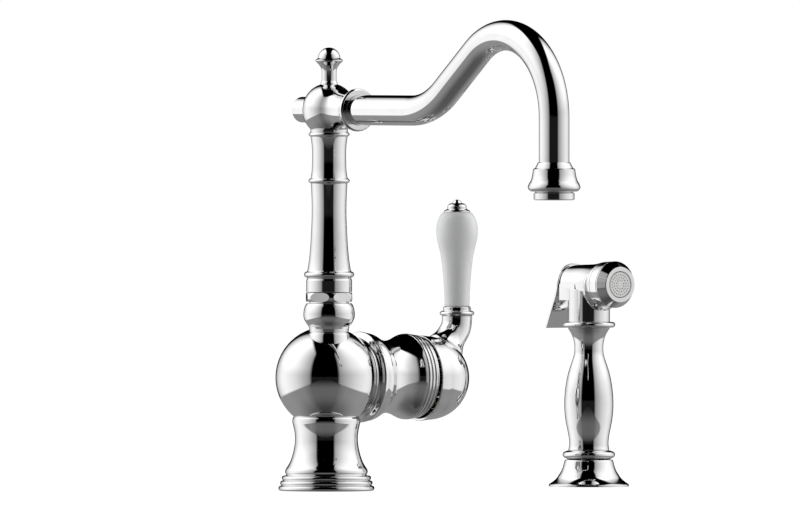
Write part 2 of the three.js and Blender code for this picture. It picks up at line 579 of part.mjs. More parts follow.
function addSprayHandle(spray) {
  const ringBoreR = 7;
  piece(spray, 'handle_foot_ring',
    bored([[14.6, 17.3], ...bead(20.1, 16.7, 2, 2), [14.2, 22.7]], ringBoreR), chrome);
  const lower = smooth([[12.7, 25], [12.7, 30.6], [14.2, 38.2], [15.5, 48], [15.5, 57.5], [14, 68.5],
    [10.8, 79.9], [9.15, 86.5], [9.15, 91], [11.1, 96.9], [13.4, 100.7]], 16);
  const handle = turned([
    [4.5, 12], [6.4, 12], [6.4, 22.9], [13.2, 23], ...lower, [6.4, 101], [6.4, 110], [4.5, 110],
    [4.5, 12],
  ]);
  piece(spray, 'spray_handle', handle, chrome);
  piece(spray, 'handle_top_ring',
    bored([[14.6, 101.3], ...bead(103, 16.8, 1.6), [14.2, 104.9]], ringBoreR), chrome);
}

// Head pieces lie along the spray direction: local +X towards the front.
function addSprayHead(spray) {
  const head = new THREE.Group();
  head.rotation.z = -Math.PI / 2;
  spray.add(head);

  const alongHead = (geometry, z = HEAD_Z) => geometry.rotateY(Math.PI / 2).translate(0, 0, z);
  const barrel = alongHead(turned([[0, HEAD_BACK], [11.6, HEAD_BACK], [12.2, HEAD_BACK + 0.8],
    [HEAD_R, 8], [13.6, 13.6], [14.3, 17.4], [14.4, HEAD_FRONT], [0, HEAD_FRONT]]));
  // The fuller underside in front of the neck: a flare whose axis lies below the barrel's.
  const chin = alongHead(turned([[0, 8], [11.5, 8], [13.4, 12], [14.9, 14.4], [14.9, 15.4],
    [12.6, HEAD_FRONT - 0.4], [0, HEAD_FRONT - 0.4]]), HEAD_Z - 1.9);
  const rearBlock = block([HEAD_BACK, -12.4, HEAD_FLOOR_Z], [0, 12.4, HEAD_Z]);
  const neck = bar(13.4, 105.2, HEAD_Z - 4, VISIBLE_SIDES);
  const riser = rod([0, 0, 104], [0, 0, 122], 4.5, 4.5, TINY_SIDES);
  const spigotSocket = rod([0, 0, 104], [0, 0, 110.4], 6.9, 6.9, SMALL_SIDES);
  const frontRoom = rod([3, 0, HEAD_Z], [22, 0, HEAD_Z], 10.4, 10.4, SMALL_SIDES);
  const valveBore = rod([-10, 0, VALVE_Z], [5, 0, VALVE_Z], 5.2, 5.2, SMALL_SIDES);
  const plungerHole = rod([-20, 0, VALVE_Z], [-8, 0, VALVE_Z], 2.3);
  const triggerRoom = block([-20, -4.8, 132.2], [-8, 4.8, 139]);
  piece(head, 'spray_head', carve([barrel, chin, rearBlock, neck], [riser, spigotSocket, frontRoom,
    valveBore, plungerHole, triggerRoom, acrossHead(19.2, 1.7)]), chrome);
  piece(head, 'trigger_pin', acrossHead(18.6, 1.4), steel);

  addSprayFace(head, alongHead);
  addSprayValve(head, alongHead);
  addTrigger(head);
}

// A round bar on the trigger's hinge line.
function acrossHead(length, r) {
  const { back, z } = TRIGGER_PIN;
  return rod([-back, -length / 2, z], [-back, length / 2, z], r);
}

function addSprayFace(head, alongHead) {
  const bezel = alongHead(turned([
    [10.7, HEAD_FRONT + GAP], [14.4, HEAD_FRONT + GAP], [14.7, 27], [14.4, 27.5], [14.8, 28],
    [14.8, 28.6], [11.5, 33.8], [11.2, FACE_FRONT], [8.5, FACE_FRONT], [8.5, 31.4], [10.7, 31.4],
    [10.7, HEAD_FRONT + GAP],
  ]));
  piece(head, 'spray_bezel', bezel, chrome);

  const rings = [[4.4, 8], [6.8, 14]];
  const holes = rings.flatMap(([r, count]) => Array.from({ length: count }, (_, i) => {
    const a = (i * 2 * Math.PI) / count;
    const y = r * Math.cos(a);
    const z = HEAD_Z + r * Math.sin(a);
    return rod([27, y, z], [36, y, z], 0.45, 0.45, 4);
  }));
  const plate = alongHead(turned([[0, 29], [10.4, 29], [10.4, 31.1], [8.1, 31.1], [8.1, 34],
    [0, 34]], SMALL_SIDES));
  piece(head, 'spray_face', carve([plate], holes), whitePlastic);
  piece(head, 'face_gasket', alongHead(sleeve(10.4, 7.6, 26.6, 28.7)), rubber);
}

// The valve that the trigger opens: a plunger with its seal, pushed back by a spring.
function addSprayValve(head, alongHead) {
  piece(head, 'spray_plunger', alongHead(turned([[0, -15], [2, -15], [2, -7.2], [4.6, -7.2],
    [4.6, -5.4], [2, -5.4], [2, 0], [0, 0]], SMALL_SIDES), VALVE_Z), brass);
  piece(head, 'plunger_spring', alongHead(sleeve(4.4, 2.6, -3.5, 2.6), VALVE_Z), steel);
}

// The trigger: a plate that covers the head's rear end, round at the top like the head, and bends
// away from the handle below it. A lug on its inner face turns on the pin.
function addTrigger(head) {
  const thickness = 2.2;
  const path = [[-15, 143], [-15, 132], [-15.6, 126], [-17.1, 121.5], [-18.8, 118.5], [-28.2, 100.7]];
  const outer = path.map(([x, z], i) => {
    const [ax, az] = path[Math.max(i - 1, 0)];
    const [bx, bz] = path[Math.min(i + 1, path.length - 1)];
    const length = Math.hypot(bx - ax, bz - az);
    return [x + (thickness * (bz - az)) / length, z - (thickness * (bx - ax)) / length];
  });
  const outline = new THREE.Shape(
    [...path, ...outer.reverse()].map(([x, z]) => new THREE.Vector2(x, z)));
  const halfWidth = HEAD_R + 0.6;
  const plate = new THREE.ExtrudeGeometry(outline, { depth: 2 * halfWidth, bevelEnabled: false })
    .rotateX(Math.PI / 2).translate(0, halfWidth, 0);
  const round = rod([-22, 0, HEAD_Z], [-8, 0, HEAD_Z], halfWidth, halfWidth, VISIBLE_SIDES);
  const corners = carve([block([-21, -14, HEAD_Z], [-10, 14, 146])], [round]);
  const lug = block([-15.4, -4.5, 133], [-9.2, 4.5, 137.9]);
  piece(head, 'spray_trigger', carve([plate, lug], [corners, acrossHead(40, 1.7)]), chrome);
}

// ---------------------------------------------------------------- assembly

const faucet = new THREE.Group();
addFoot(faucet);
addBody(faucet);
addFittings(faucet);
addSpoutSeat(faucet);
addCartridge(faucet);
addLever(faucet);
addSpout(faucet);

const spray = new THREE.Group();
spray.position.set(SPRAY_X, 0, 0);
faucet.add(spray);
addSprayHolder(spray);
addHoseCoupling(spray);
addSprayHandle(spray);
addSprayHead(spray);

export default faucet;
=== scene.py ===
"""Visual model of a kitchen faucet with a swan-neck spout and a separate hand spray.

Sizes are in millimetres in the object's own frame: +Z up, the spout towards -Y, the valve arm and
the hand spray towards +X. Meshes are made in metres by one scale factor, and the studio round the
object is laid out in metres.
"""

import logging
import math
from dataclasses import dataclass, field
from enum import Enum
from typing import Optional, Sequence

import bmesh
import bpy
import numpy as np
from mathutils import Matrix, Vector


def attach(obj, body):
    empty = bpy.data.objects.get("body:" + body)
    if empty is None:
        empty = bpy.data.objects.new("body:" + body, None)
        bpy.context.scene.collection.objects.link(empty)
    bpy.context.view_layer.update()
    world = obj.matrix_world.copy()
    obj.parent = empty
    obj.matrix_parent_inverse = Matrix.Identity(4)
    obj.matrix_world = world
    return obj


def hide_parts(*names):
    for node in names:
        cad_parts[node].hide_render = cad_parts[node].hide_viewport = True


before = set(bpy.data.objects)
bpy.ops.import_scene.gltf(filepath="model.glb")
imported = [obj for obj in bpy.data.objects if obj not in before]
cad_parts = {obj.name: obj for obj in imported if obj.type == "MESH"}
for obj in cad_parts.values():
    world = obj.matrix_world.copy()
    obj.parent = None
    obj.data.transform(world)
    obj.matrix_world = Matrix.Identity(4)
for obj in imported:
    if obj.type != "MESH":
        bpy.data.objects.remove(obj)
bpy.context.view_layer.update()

LOG = logging.getLogger("faucet")

MM = 0.001
EDGE = 0.3                 # usual rounding of a polished edge
SUPPORT = 0.12             # distance of the loop that holds a flat face flat beside its rounding
SIDES = 176                # facets round a large turned piece
SMALL_SIDES = 112          # facets round a small turned piece
JOINT = 0.05               # hairline between two pieces that are screwed together
SHARP_DEGREES = 38.0       # edges that turn by more than this stay sharp

BALL_R = 32.2              # the body's ball, whose middle is also the height of the valve arm
BALL_Z = 71.5
COLUMN_AT = (-4.3, -9.0, 0.0)   # foot of the axis that the spout swivels about

Corner = tuple            # (radius, height) or (radius, height, rounding)
Colour = tuple[float, float, float, float]


# ------------------------------------------------------------------------- options

class Axis(Enum):
    """Direction in which a turned piece's own axis points."""

    UP = (0.0, 0.0, 1.0)
    ARM = (1.0, 0.0, 0.0)
    FRONT = (0.0, -1.0, 0.0)
    BACK = (0.0, 1.0, 0.0)


class Cut(Enum):
    """How one solid is combined with another."""

    TAKE_AWAY = "DIFFERENCE"
    JOIN = "UNION"
    KEEP_COMMON = "INTERSECT"


class Slot(Enum):
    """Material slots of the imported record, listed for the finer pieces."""

    CHROME = "polished_chrome"
    PORCELAIN = "glazed_porcelain"
    WHITE = "white_plastic"


# ------------------------------------------------------------------------- profiles

def spline(points: Sequence[tuple], spacing: float = 0.7) -> list[Corner]:
    """Draw a curve of even curvature through a few points.

    Args:
        points: (radius, height) pairs in order.
        spacing: distance between the points made.

    Returns:
        Profile points that need no rounding.
    """
    given = np.array(points, float)
    chord = np.linalg.norm(np.diff(given, axis=0), axis=1)
    place = np.concatenate(([0.0], np.cumsum(chord)))
    count = len(given)
    matrix, right = np.zeros((count, count)), np.zeros((count, 2))
    matrix[0, 0] = matrix[-1, -1] = 1.0
    for i in range(1, count - 1):
        matrix[i, i - 1:i + 2] = chord[i - 1], 2 * (chord[i - 1] + chord[i]), chord[i]
        right[i] = 6 * ((given[i + 1] - given[i]) / chord[i]
                        - (given[i] - given[i - 1]) / chord[i - 1])
    bend = np.linalg.solve(matrix, right)
    at = np.linspace(0, place[-1], max(2, round(place[-1] / spacing)) + 1)
    index = np.clip(np.searchsorted(place, at, side="right") - 1, 0, count - 2)
    step, ahead = chord[index][:, None], (at - place[index])[:, None]
    left = step - ahead
    drawn = ((bend[index] * left ** 3 + bend[index + 1] * ahead ** 3) / (6 * step)
             + (given[index] / step - bend[index] * step / 6) * left
             + (given[index + 1] / step - bend[index + 1] * step / 6) * ahead)
    return [(float(r), float(z), 0.0) for r, z in drawn]


def arc(centre_r: float, centre_z: float, radius: float, start: float, end: float,
        steps: int = 24) -> list[Corner]:
    """Draw part of a circle in a profile.

    Args:
        centre_r: distance of the circle's centre from the axis.
        centre_z: height of the circle's centre.
        radius: radius of the circle.
        start: first angle in degrees, 0 pointing away from the axis and 90 up.
        end: last angle in degrees.
        steps: number of straight pieces.

    Returns:
        Profile points that need no rounding.
    """
    angles = [math.radians(start + (end - start) * i / steps) for i in range(steps + 1)]
    return [(max(centre_r + radius * math.cos(a), 0.0), centre_z + radius * math.sin(a), 0.0)
            for a in angles]


def bead(z: float, outer_r: float, half_height: float, depth: Optional[float] = None) -> list[Corner]:
    """Draw a half-round bead that stands out of a turned piece.

    Args:
        z: height of the bead's middle.
        outer_r: its largest radius.
        half_height: half its height.
        depth: how far it stands out, the same as half_height if it isn't given.

    Returns:
        Profile points from its foot to its top.
    """
    out = half_height if depth is None else depth
    return [(outer_r - out * (1 - r), z + half_height * h, 0.0)
            for r, h, _ in arc(0, 0, 1, -84, 84, 14)]


def rounded(profile: Sequence[Corner], closed: bool) -> list[tuple[float, float]]:
    """Round the corners of a profile and hold its flats with a point beside each rounding.

    Args:
        profile: corners; a third value is the rounding radius, EDGE if it is left out.
        closed: whether the last corner joins the first.

    Returns:
        (radius, height) points.
    """
    corners = [(Vector(p[:2]), p[2] if len(p) > 2 else EDGE) for p in profile]
    made: list[Vector] = []
    for i, (here, radius) in enumerate(corners):
        at_end = not closed and i in (0, len(corners) - 1)
        if radius == 0 or at_end:
            made.append(here)
            continue
        before = corners[i - 1][0] - here
        after = corners[(i + 1) % len(corners)][0] - here
        if before.length < 1e-6 or after.length < 1e-6:
            continue
        half = before.angle(after) / 2
        if half > math.radians(87):
            made.append(here)
            continue
        cut = min(radius / math.tan(half), 0.45 * before.length, 0.45 * after.length)
        ends = [here + way.normalized() * cut for way in (before, after)]
        middle = here + (before.normalized() + after.normalized()).normalized() * (cut / math.cos(half))
        swing = math.pi - 2 * half
        steps = max(2, math.ceil(swing / math.radians(16)))
        first, last = ends[0] - middle, ends[1] - middle
        curve = [middle + (first * math.sin(swing * (1 - k / steps))
                           + last * math.sin(swing * k / steps)) / math.sin(swing)
                 for k in range(steps + 1)]
        if before.length - cut > 4 * SUPPORT:
            curve.insert(0, ends[0] + before.normalized() * SUPPORT)
        if after.length - cut > 4 * SUPPORT:
            curve.append(ends[1] + after.normalized() * SUPPORT)
        made.extend(curve)
    kept = [p for i, p in enumerate(made) if i == 0 or (p - made[i - 1]).length > 1e-5]
    return [(p.x, p.y) for p in kept]


# ------------------------------------------------------------------------- meshes

def new_object(name: str, points: Sequence[Sequence[float]],
               faces: Sequence[Sequence[int]]) -> bpy.types.Object:
    """Make a mesh object from points in millimetres.

    Args:
        name: object name.
        points: vertices in millimetres.
        faces: vertex indices of each face.

    Returns:
        The linked object, shaded smooth.
    """
    mesh = bpy.data.meshes.new(name)
    mesh.from_pydata([tuple(c * MM for c in p) for p in points], [], [tuple(f) for f in faces])
    shape = bpy.data.objects.new(name, mesh)
    bpy.context.scene.collection.objects.link(shape)
    clean(shape)
    return shape


def clean(shape: bpy.types.Object) -> None:
    """Weld, turn the faces outwards and shade smooth between the sharp edges.

    Args:
        shape: the object to clean.
    """
    work = bmesh.new()
    work.from_mesh(shape.data)
    bmesh.ops.remove_doubles(work, verts=work.verts, dist=1e-7)
    bmesh.ops.dissolve_degenerate(work, edges=work.edges, dist=1e-7)
    bmesh.ops.recalc_face_normals(work, faces=work.faces)
    work.to_mesh(shape.data)
    work.free()
    shape.data.shade_smooth()
    shape.data.set_sharp_from_angle(angle=math.radians(SHARP_DEGREES))


def placed(axis: Axis, at: Sequence[float]) -> Matrix:
    """Give the matrix that turns local +Z to an axis and moves the origin.

    Args:
        axis: direction of the piece's own axis.
        at: where the piece's own origin goes.

    Returns:
        A matrix in millimetres.
    """
    turn = Vector((0, 0, 1)).rotation_difference(Vector(axis.value)).to_matrix().to_4x4()
    return Matrix.Translation(Vector(at)) @ turn


def turned(name: str, profile: Sequence[Corner], axis: Axis = Axis.UP,
           at: Sequence[float] = (0, 0, 0), sides: int = SIDES) -> bpy.types.Object:
    """Turn a profile about an axis.

    Args:
        name: object name.
        profile: corners; it closes on itself unless it starts and ends on the axis.
        axis: direction of the axis.
        at: a point of the axis that is height 0 of the profile.
        sides: facets round the piece.

    Returns:
        The object.
    """
    on_axis = profile[0][0] < 1e-6 and profile[-1][0] < 1e-6
    outline = rounded(profile, closed=not on_axis)
    matrix = placed(axis, at)
    points: list[Vector] = []
    rings: list[list[int]] = []
    for r, z in outline:
        r = max(r, 0.0)
        if r < 1e-5:
            rings.append([len(points)] * sides)
            points.append(matrix @ Vector((0, 0, z)))
            continue
        rings.append(list(range(len(points), len(points) + sides)))
        points.extend(matrix @ Vector((r * math.cos(a), r * math.sin(a), z))
                      for a in (2 * math.pi * k / sides for k in range(sides)))
    pairs = list(zip(rings, rings[1:])) + ([] if on_axis else [(rings[-1], rings[0])])
    faces = []
    for low, high in pairs:
        for k in range(sides):
            n = (k + 1) % sides
            corners = list(dict.fromkeys((low[k], low[n], high[n], high[k])))
            if len(corners) > 2:
                faces.append(corners)
    return new_object(name, points, faces)


def rod(name: str, low: float, high: float, radius: float, axis: Axis = Axis.UP,
        at: Sequence[float] = (0, 0, 0), sides: int = SMALL_SIDES) -> bpy.types.Object:
    """Turn a plain rod, to bore with or to join on.

    Args:
        name: object name.
        low: height of its foot.
        high: height of its top.
        radius: its radius.
        axis: direction of the axis.
        at: a point of the axis that is height 0.
        sides: facets round it.

    Returns:
        The object.
    """
    return turned(name, [(0, low), (radius, low), (radius, high), (0, high)], axis, at, sides)


def swept(name: str, path: Sequence[Vector], across: Vector, radii: Sequence[float],
          bore: float = 0.0, sides: int = SMALL_SIDES) -> bpy.types.Object:
    """Sweep a round section along a flat curve.

    Args:
        name: object name.
        path: centre line in millimetres.
        across: unit vector square to the plane of the curve.
        radii: outer radius at each point of the path.
        bore: radius of the bore, 0 for a solid bar.
        sides: facets round the section.

    Returns:
        The object, closed at both ends.
    """
    points: list[Vector] = []
    for i, centre in enumerate(path):
        along = (path[min(i + 1, len(path) - 1)] - path[max(i - 1, 0)]).normalized()
        up = across.cross(along)
        for r in [radii[i]] + ([bore] if bore else []):
            points.extend(centre + (across * math.cos(a) + up * math.sin(a)) * r
                          for a in (2 * math.pi * k / sides for k in range(sides)))
    skins = 2 if bore else 1
    starts = [i * skins * sides for i in range(len(path))]
    pairs = [(low + skin * sides, high + skin * sides)
             for low, high in zip(starts, starts[1:]) for skin in range(skins)]
    if bore:
        pairs += [(end, end + sides) for end in (starts[0], starts[-1])]
    faces = [[low + k, low + (k + 1) % sides, high + (k + 1) % sides, high + k]
             for low, high in pairs for k in range(sides)]
    if not bore:
        faces += [list(range(end, end + sides)) for end in (starts[0], starts[-1])]
    return new_object(name, points, faces)


def plate(name: str, outline: Sequence[tuple[float, float]], low: float, high: float,
          matrix: Matrix) -> bpy.types.Object:
    """Give a flat outline a thickness.

    Args:
        name: object name.
        outline: points of the outline in the local XY plane.
        low: local Z of one face.
        high: local Z of the other face.
        matrix: where the local frame goes.

    Returns:
        The object.
    """
    count = len(outline)
    points = [matrix @ Vector((x, y, z)) for z in (low, high) for x, y in outline]
    faces = [[k, (k + 1) % count, count + (k + 1) % count, count + k] for k in range(count)]
    faces += [list(range(count)), list(range(count, 2 * count))]
    return new_object(name, points, faces)


def combine(shape: bpy.types.Object, others: Sequence[bpy.types.Object],
            how: Cut = Cut.TAKE_AWAY) -> bpy.types.Object:
    """Combine a solid with others, which are used up.

    Args:
        shape: the solid that stays.
        others: the solids that are taken away, joined or kept in common.
        how: the kind of combination.

    Returns:
        The solid that stays.
    """
    for other in others:
        step = shape.modifiers.new("combine", "BOOLEAN")
        step.operation, step.solver, step.object = how.value, "EXACT", other
        bpy.context.view_layer.update()
        graph = bpy.context.evaluated_depsgraph_get()
        result = bpy.data.meshes.new_from_object(shape.evaluated_get(graph))
        shape.modifiers.clear()
        shape.data = result
        bpy.data.objects.remove(other)
    shape.data.name = shape.name
    clean(shape)
    return shape


def soften(shape: bpy.types.Object, width: float, angle: float, steps: int = 3) -> None:
    """Round the sharp edges that a cut has left.

    Args:
        shape: the object.
        width: width of the rounding in millimetres.
        angle: only edges that turn by more degrees than this are rounded.
        steps: number of facets across the rounding.
    """
    bevel = shape.modifiers.new("polished_edges", "BEVEL")
    bevel.width, bevel.segments, bevel.limit_method = width * MM, steps, "ANGLE"
    bevel.angle_limit, bevel.harden_normals = math.radians(angle), True


# ------------------------------------------------------------------------- materials

def linear(hex_colour: str) -> Colour:
    """Turn an sRGB hex colour into linear red, green, blue and alpha.

    Args:
        hex_colour: such as "#F2F1EE".

    Returns:
        The linear colour with alpha 1.
    """
    parts = [int(hex_colour[i:i + 2], 16) / 255 for i in (1, 3, 5)]
    return tuple(c / 12.92 if c <= 0.04045 else ((c + 0.055) / 1.055) ** 2.4 for c in parts) + (1.0,)


def add_node(tree: bpy.types.NodeTree, kind: str, settings: Optional[dict] = None,
             inputs: Optional[dict] = None,
             stops: Sequence[tuple[float, float]] = ()) -> bpy.types.Node:
    """Add a node with its settings and links.

    Args:
        tree: the node tree.
        kind: the node's type name.
        settings: properties of the node.
        inputs: values or output sockets by input name or number.
        stops: (position, linear grey) pairs of a colour ramp, in order.

    Returns:
        The node.
    """
    node = tree.nodes.new(kind)
    for key, value in (settings or {}).items():
        setattr(node, key, value)
    for key, value in (inputs or {}).items():
        if isinstance(value, bpy.types.NodeSocket):
            tree.links.new(value, node.inputs[key])
        else:
            node.inputs[key].default_value = value
    for i, (position, grey) in enumerate(stops):
        elements = node.color_ramp.elements
        element = elements[i] if i < len(elements) else elements.new(position)
        element.position, element.color = position, (grey, grey, grey, 1.0)
    return node


def empty_tree(owner: bpy.types.ID) -> bpy.types.NodeTree:
    """Empty the node tree of a new material or world.

    Args:
        owner: the material or world.

    Returns:
        Its node tree.
    """
    owner.use_nodes = True
    owner.node_tree.nodes.clear()
    return owner.node_tree


@dataclass(frozen=True)
class Finish:
    """A surface: what it is made of and what its making leaves on it."""

    name: str
    colour: str
    stain: str                 # second colour that the pattern mixes in
    stain_share: float
    metallic: float
    roughness: float
    roughness_spread: float    # how much the pattern changes the roughness
    pattern_mm: float          # size of one feature of the pattern
    stretch: tuple[float, float, float] = (1.0, 1.0, 1.0)
    relief_mm: float = 0.0     # height of the relief
    relief_size_mm: float = 1.0
    relief_stretch: tuple[float, float, float] = (1.0, 1.0, 1.0)
    ior: float = 1.5
    coat: float = 0.0
    coat_roughness: float = 0.05

    def build(self) -> bpy.types.Material:
        """Make the Blender material.

        Returns:
            The material, with its pattern and relief in object millimetres.
        """
        material = bpy.data.materials.new(self.name)
        tree = empty_tree(material)
        place = add_node(tree, "ShaderNodeTexCoord").outputs["Object"]
        scaled = add_node(tree, "ShaderNodeMapping", inputs={
            "Vector": place, "Scale": tuple(s / (self.pattern_mm * MM) for s in self.stretch)})
        noise = add_node(tree, "ShaderNodeTexNoise", inputs={
            "Vector": scaled.outputs[0], "Scale": 1.0, "Detail": 5.0, "Roughness": 0.6})
        share = add_node(tree, "ShaderNodeMapRange", inputs={
            "Value": noise.outputs["Fac"], "From Min": 0.45, "From Max": 0.75,
            "To Min": 0.0, "To Max": self.stain_share})
        colour = add_node(tree, "ShaderNodeMix", {"data_type": "RGBA"}, {
            0: share.outputs[0], 6: linear(self.colour), 7: linear(self.stain)})
        rough = add_node(tree, "ShaderNodeMapRange", inputs={
            "Value": noise.outputs["Fac"], "From Min": 0.3, "From Max": 0.7,
            "To Min": max(self.roughness - self.roughness_spread, 0.0),
            "To Max": self.roughness + self.roughness_spread})
        surface = add_node(tree, "ShaderNodeBsdfPrincipled", inputs={
            "Base Color": colour.outputs[2], "Metallic": self.metallic,
            "Roughness": rough.outputs[0], "Coat Weight": self.coat,
            "Coat Roughness": self.coat_roughness})
        if not self.metallic:
            surface.inputs["IOR"].default_value = self.ior
        if self.relief_mm:
            finer = add_node(tree, "ShaderNodeMapping", inputs={
                "Vector": place,
                "Scale": tuple(s / (self.relief_size_mm * MM) for s in self.relief_stretch)})
            waves = add_node(tree, "ShaderNodeTexNoise", inputs={
                "Vector": finer.outputs[0], "Scale": 1.0, "Detail": 2.0, "Roughness": 0.45})
            bump = add_node(tree, "ShaderNodeBump", inputs={
                "Height": waves.outputs["Fac"], "Strength": 1.0, "Distance": self.relief_mm * MM})
            tree.links.new(bump.outputs[0], surface.inputs["Normal"])
        add_node(tree, "ShaderNodeOutputMaterial", inputs={"Surface": surface.outputs[0]})
        return material


# Chromium plate on brass, buffed to a mirror. The eye gets hard, dark and bright reflections; the
# buffing leaves a haze that changes the gloss a little every 9 mm and a swell far too low to see
# except as a slight waver of the reflected edges.
POLISHED_CHROME = Finish(
    "chromium_plate_mirror_buffed", "#E8E8E8", "#DCDCDC", 0.5, 1.0, 0.035, 0.015, 9.0,
    relief_mm=0.0035, relief_size_mm=14.0)

# Brass straight from the lathe: warm yellow, with tool rings about 0.6 mm apart and a dull film.
TURNED_BRASS = Finish(
    "brass_turned", "#C6A15B", "#8F6E35", 0.7, 1.0, 0.3, 0.08, 5.0,
    relief_mm=0.01, relief_size_mm=0.6, relief_stretch=(0.2, 0.2, 1.0))

# Stainless steel bar, cold drawn: grey with fine lines along the bar, drawn 0.4 mm apart.
DRAWN_STEEL = Finish(
    "stainless_steel_drawn", "#B3B6BA", "#8C9095", 0.5, 1.0, 0.28, 0.07, 0.8, (1.0, 1.0, 0.1),
    relief_mm=0.006, relief_size_mm=0.4, relief_stretch=(1.0, 1.0, 0.1))

# Porcelain under a clear glaze, fired on its end: a clean cold white whose gloss lies over a very
# soft body. The glaze runs a little thick and thin every 12 mm.
GLAZED_PORCELAIN = Finish(
    "porcelain_glazed", "#F4F5F5", "#ECEDEE", 0.6, 0.0, 0.42, 0.06, 12.0,
    relief_mm=0.01, relief_size_mm=16.0, coat=0.35, coat_roughness=0.12)

# Alumina disc, lapped: an even bone white with a sheen and no lines.
LAPPED_CERAMIC = Finish(
    "alumina_lapped", "#DEDBD2", "#CBC7BC", 0.5, 0.0, 0.22, 0.05, 2.0, ior=1.7)

# Nitrile rubber from a mould: black with a grey bloom in patches of 3 mm and a fine grain.
MOULDED_RUBBER = Finish(
    "nitrile_rubber_moulded", "#1B1B1D", "#2C2D30", 0.8, 0.0, 0.7, 0.1, 3.0,
    relief_mm=0.012, relief_size_mm=0.5, ior=1.52)

# White acetal, moulded: slightly warm, half gloss, with the mould's fine spark texture.
WHITE_ACETAL = Finish(
    "acetal_white_moulded", "#E6E6E2", "#D3D3CE", 0.6, 0.0, 0.38, 0.07, 1.5,
    relief_mm=0.006, relief_size_mm=0.4, ior=1.48)

# Black acetal, moulded: charcoal with the same spark texture.
BLACK_ACETAL = Finish(
    "acetal_black_moulded", "#232427", "#303135", 0.6, 0.0, 0.42, 0.08, 1.5,
    relief_mm=0.008, relief_size_mm=0.4, ior=1.48)

# Pale silicone spray plate, moulded: matt and nearly white between the holes.
SPRAY_SILICONE = Finish(
    "silicone_pale_moulded", "#F8F8F7", "#F0F0EF", 0.6, 0.0, 0.45, 0.08, 2.0,
    relief_mm=0.01, relief_size_mm=0.5, ior=1.43)


class Paintbox:
    """Makes each finish once and dresses pieces with it."""

    def __init__(self) -> None:
        """Start with no materials."""
        self.made: dict[str, bpy.types.Material] = {}

    def material(self, finish: Finish) -> bpy.types.Material:
        """Give the material of a finish, made on first use.

        Args:
            finish: the finish.

        Returns:
            Its material.
        """
        if finish.name not in self.made:
            self.made[finish.name] = finish.build()
        return self.made[finish.name]

    def dress(self, shape: bpy.types.Object, body: str, node: str,
              finish: Finish = POLISHED_CHROME, slot: Slot = Slot.CHROME) -> None:
        """Finish a piece and hang it on its body.

        Args:
            shape: the piece.
            body: the CAD body that it rides on.
            node: the CAD node that it stands for.
            finish: its surface.
            slot: the record's slot that it belongs to; it is not used.
        """
        shape.data.materials.clear()
        shape.data.materials.append(self.material(finish))
        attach(shape, body)
        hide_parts(node)
        LOG.info("%s on %s, %s", shape.name, body, finish.name)

    def dress_nodes(self, finish: Finish, names: Sequence[str]) -> None:
        """Give CAD nodes that stay as they are a finish.

        Args:
            finish: their surface.
            names: node names.
        """
        for name in names:
            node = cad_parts[name]
            node.data.materials.clear()
            node.data.materials.append(self.material(finish))
            LOG.info("%s kept, %s", name, finish.name)


# ------------------------------------------------------------------------- foot and body

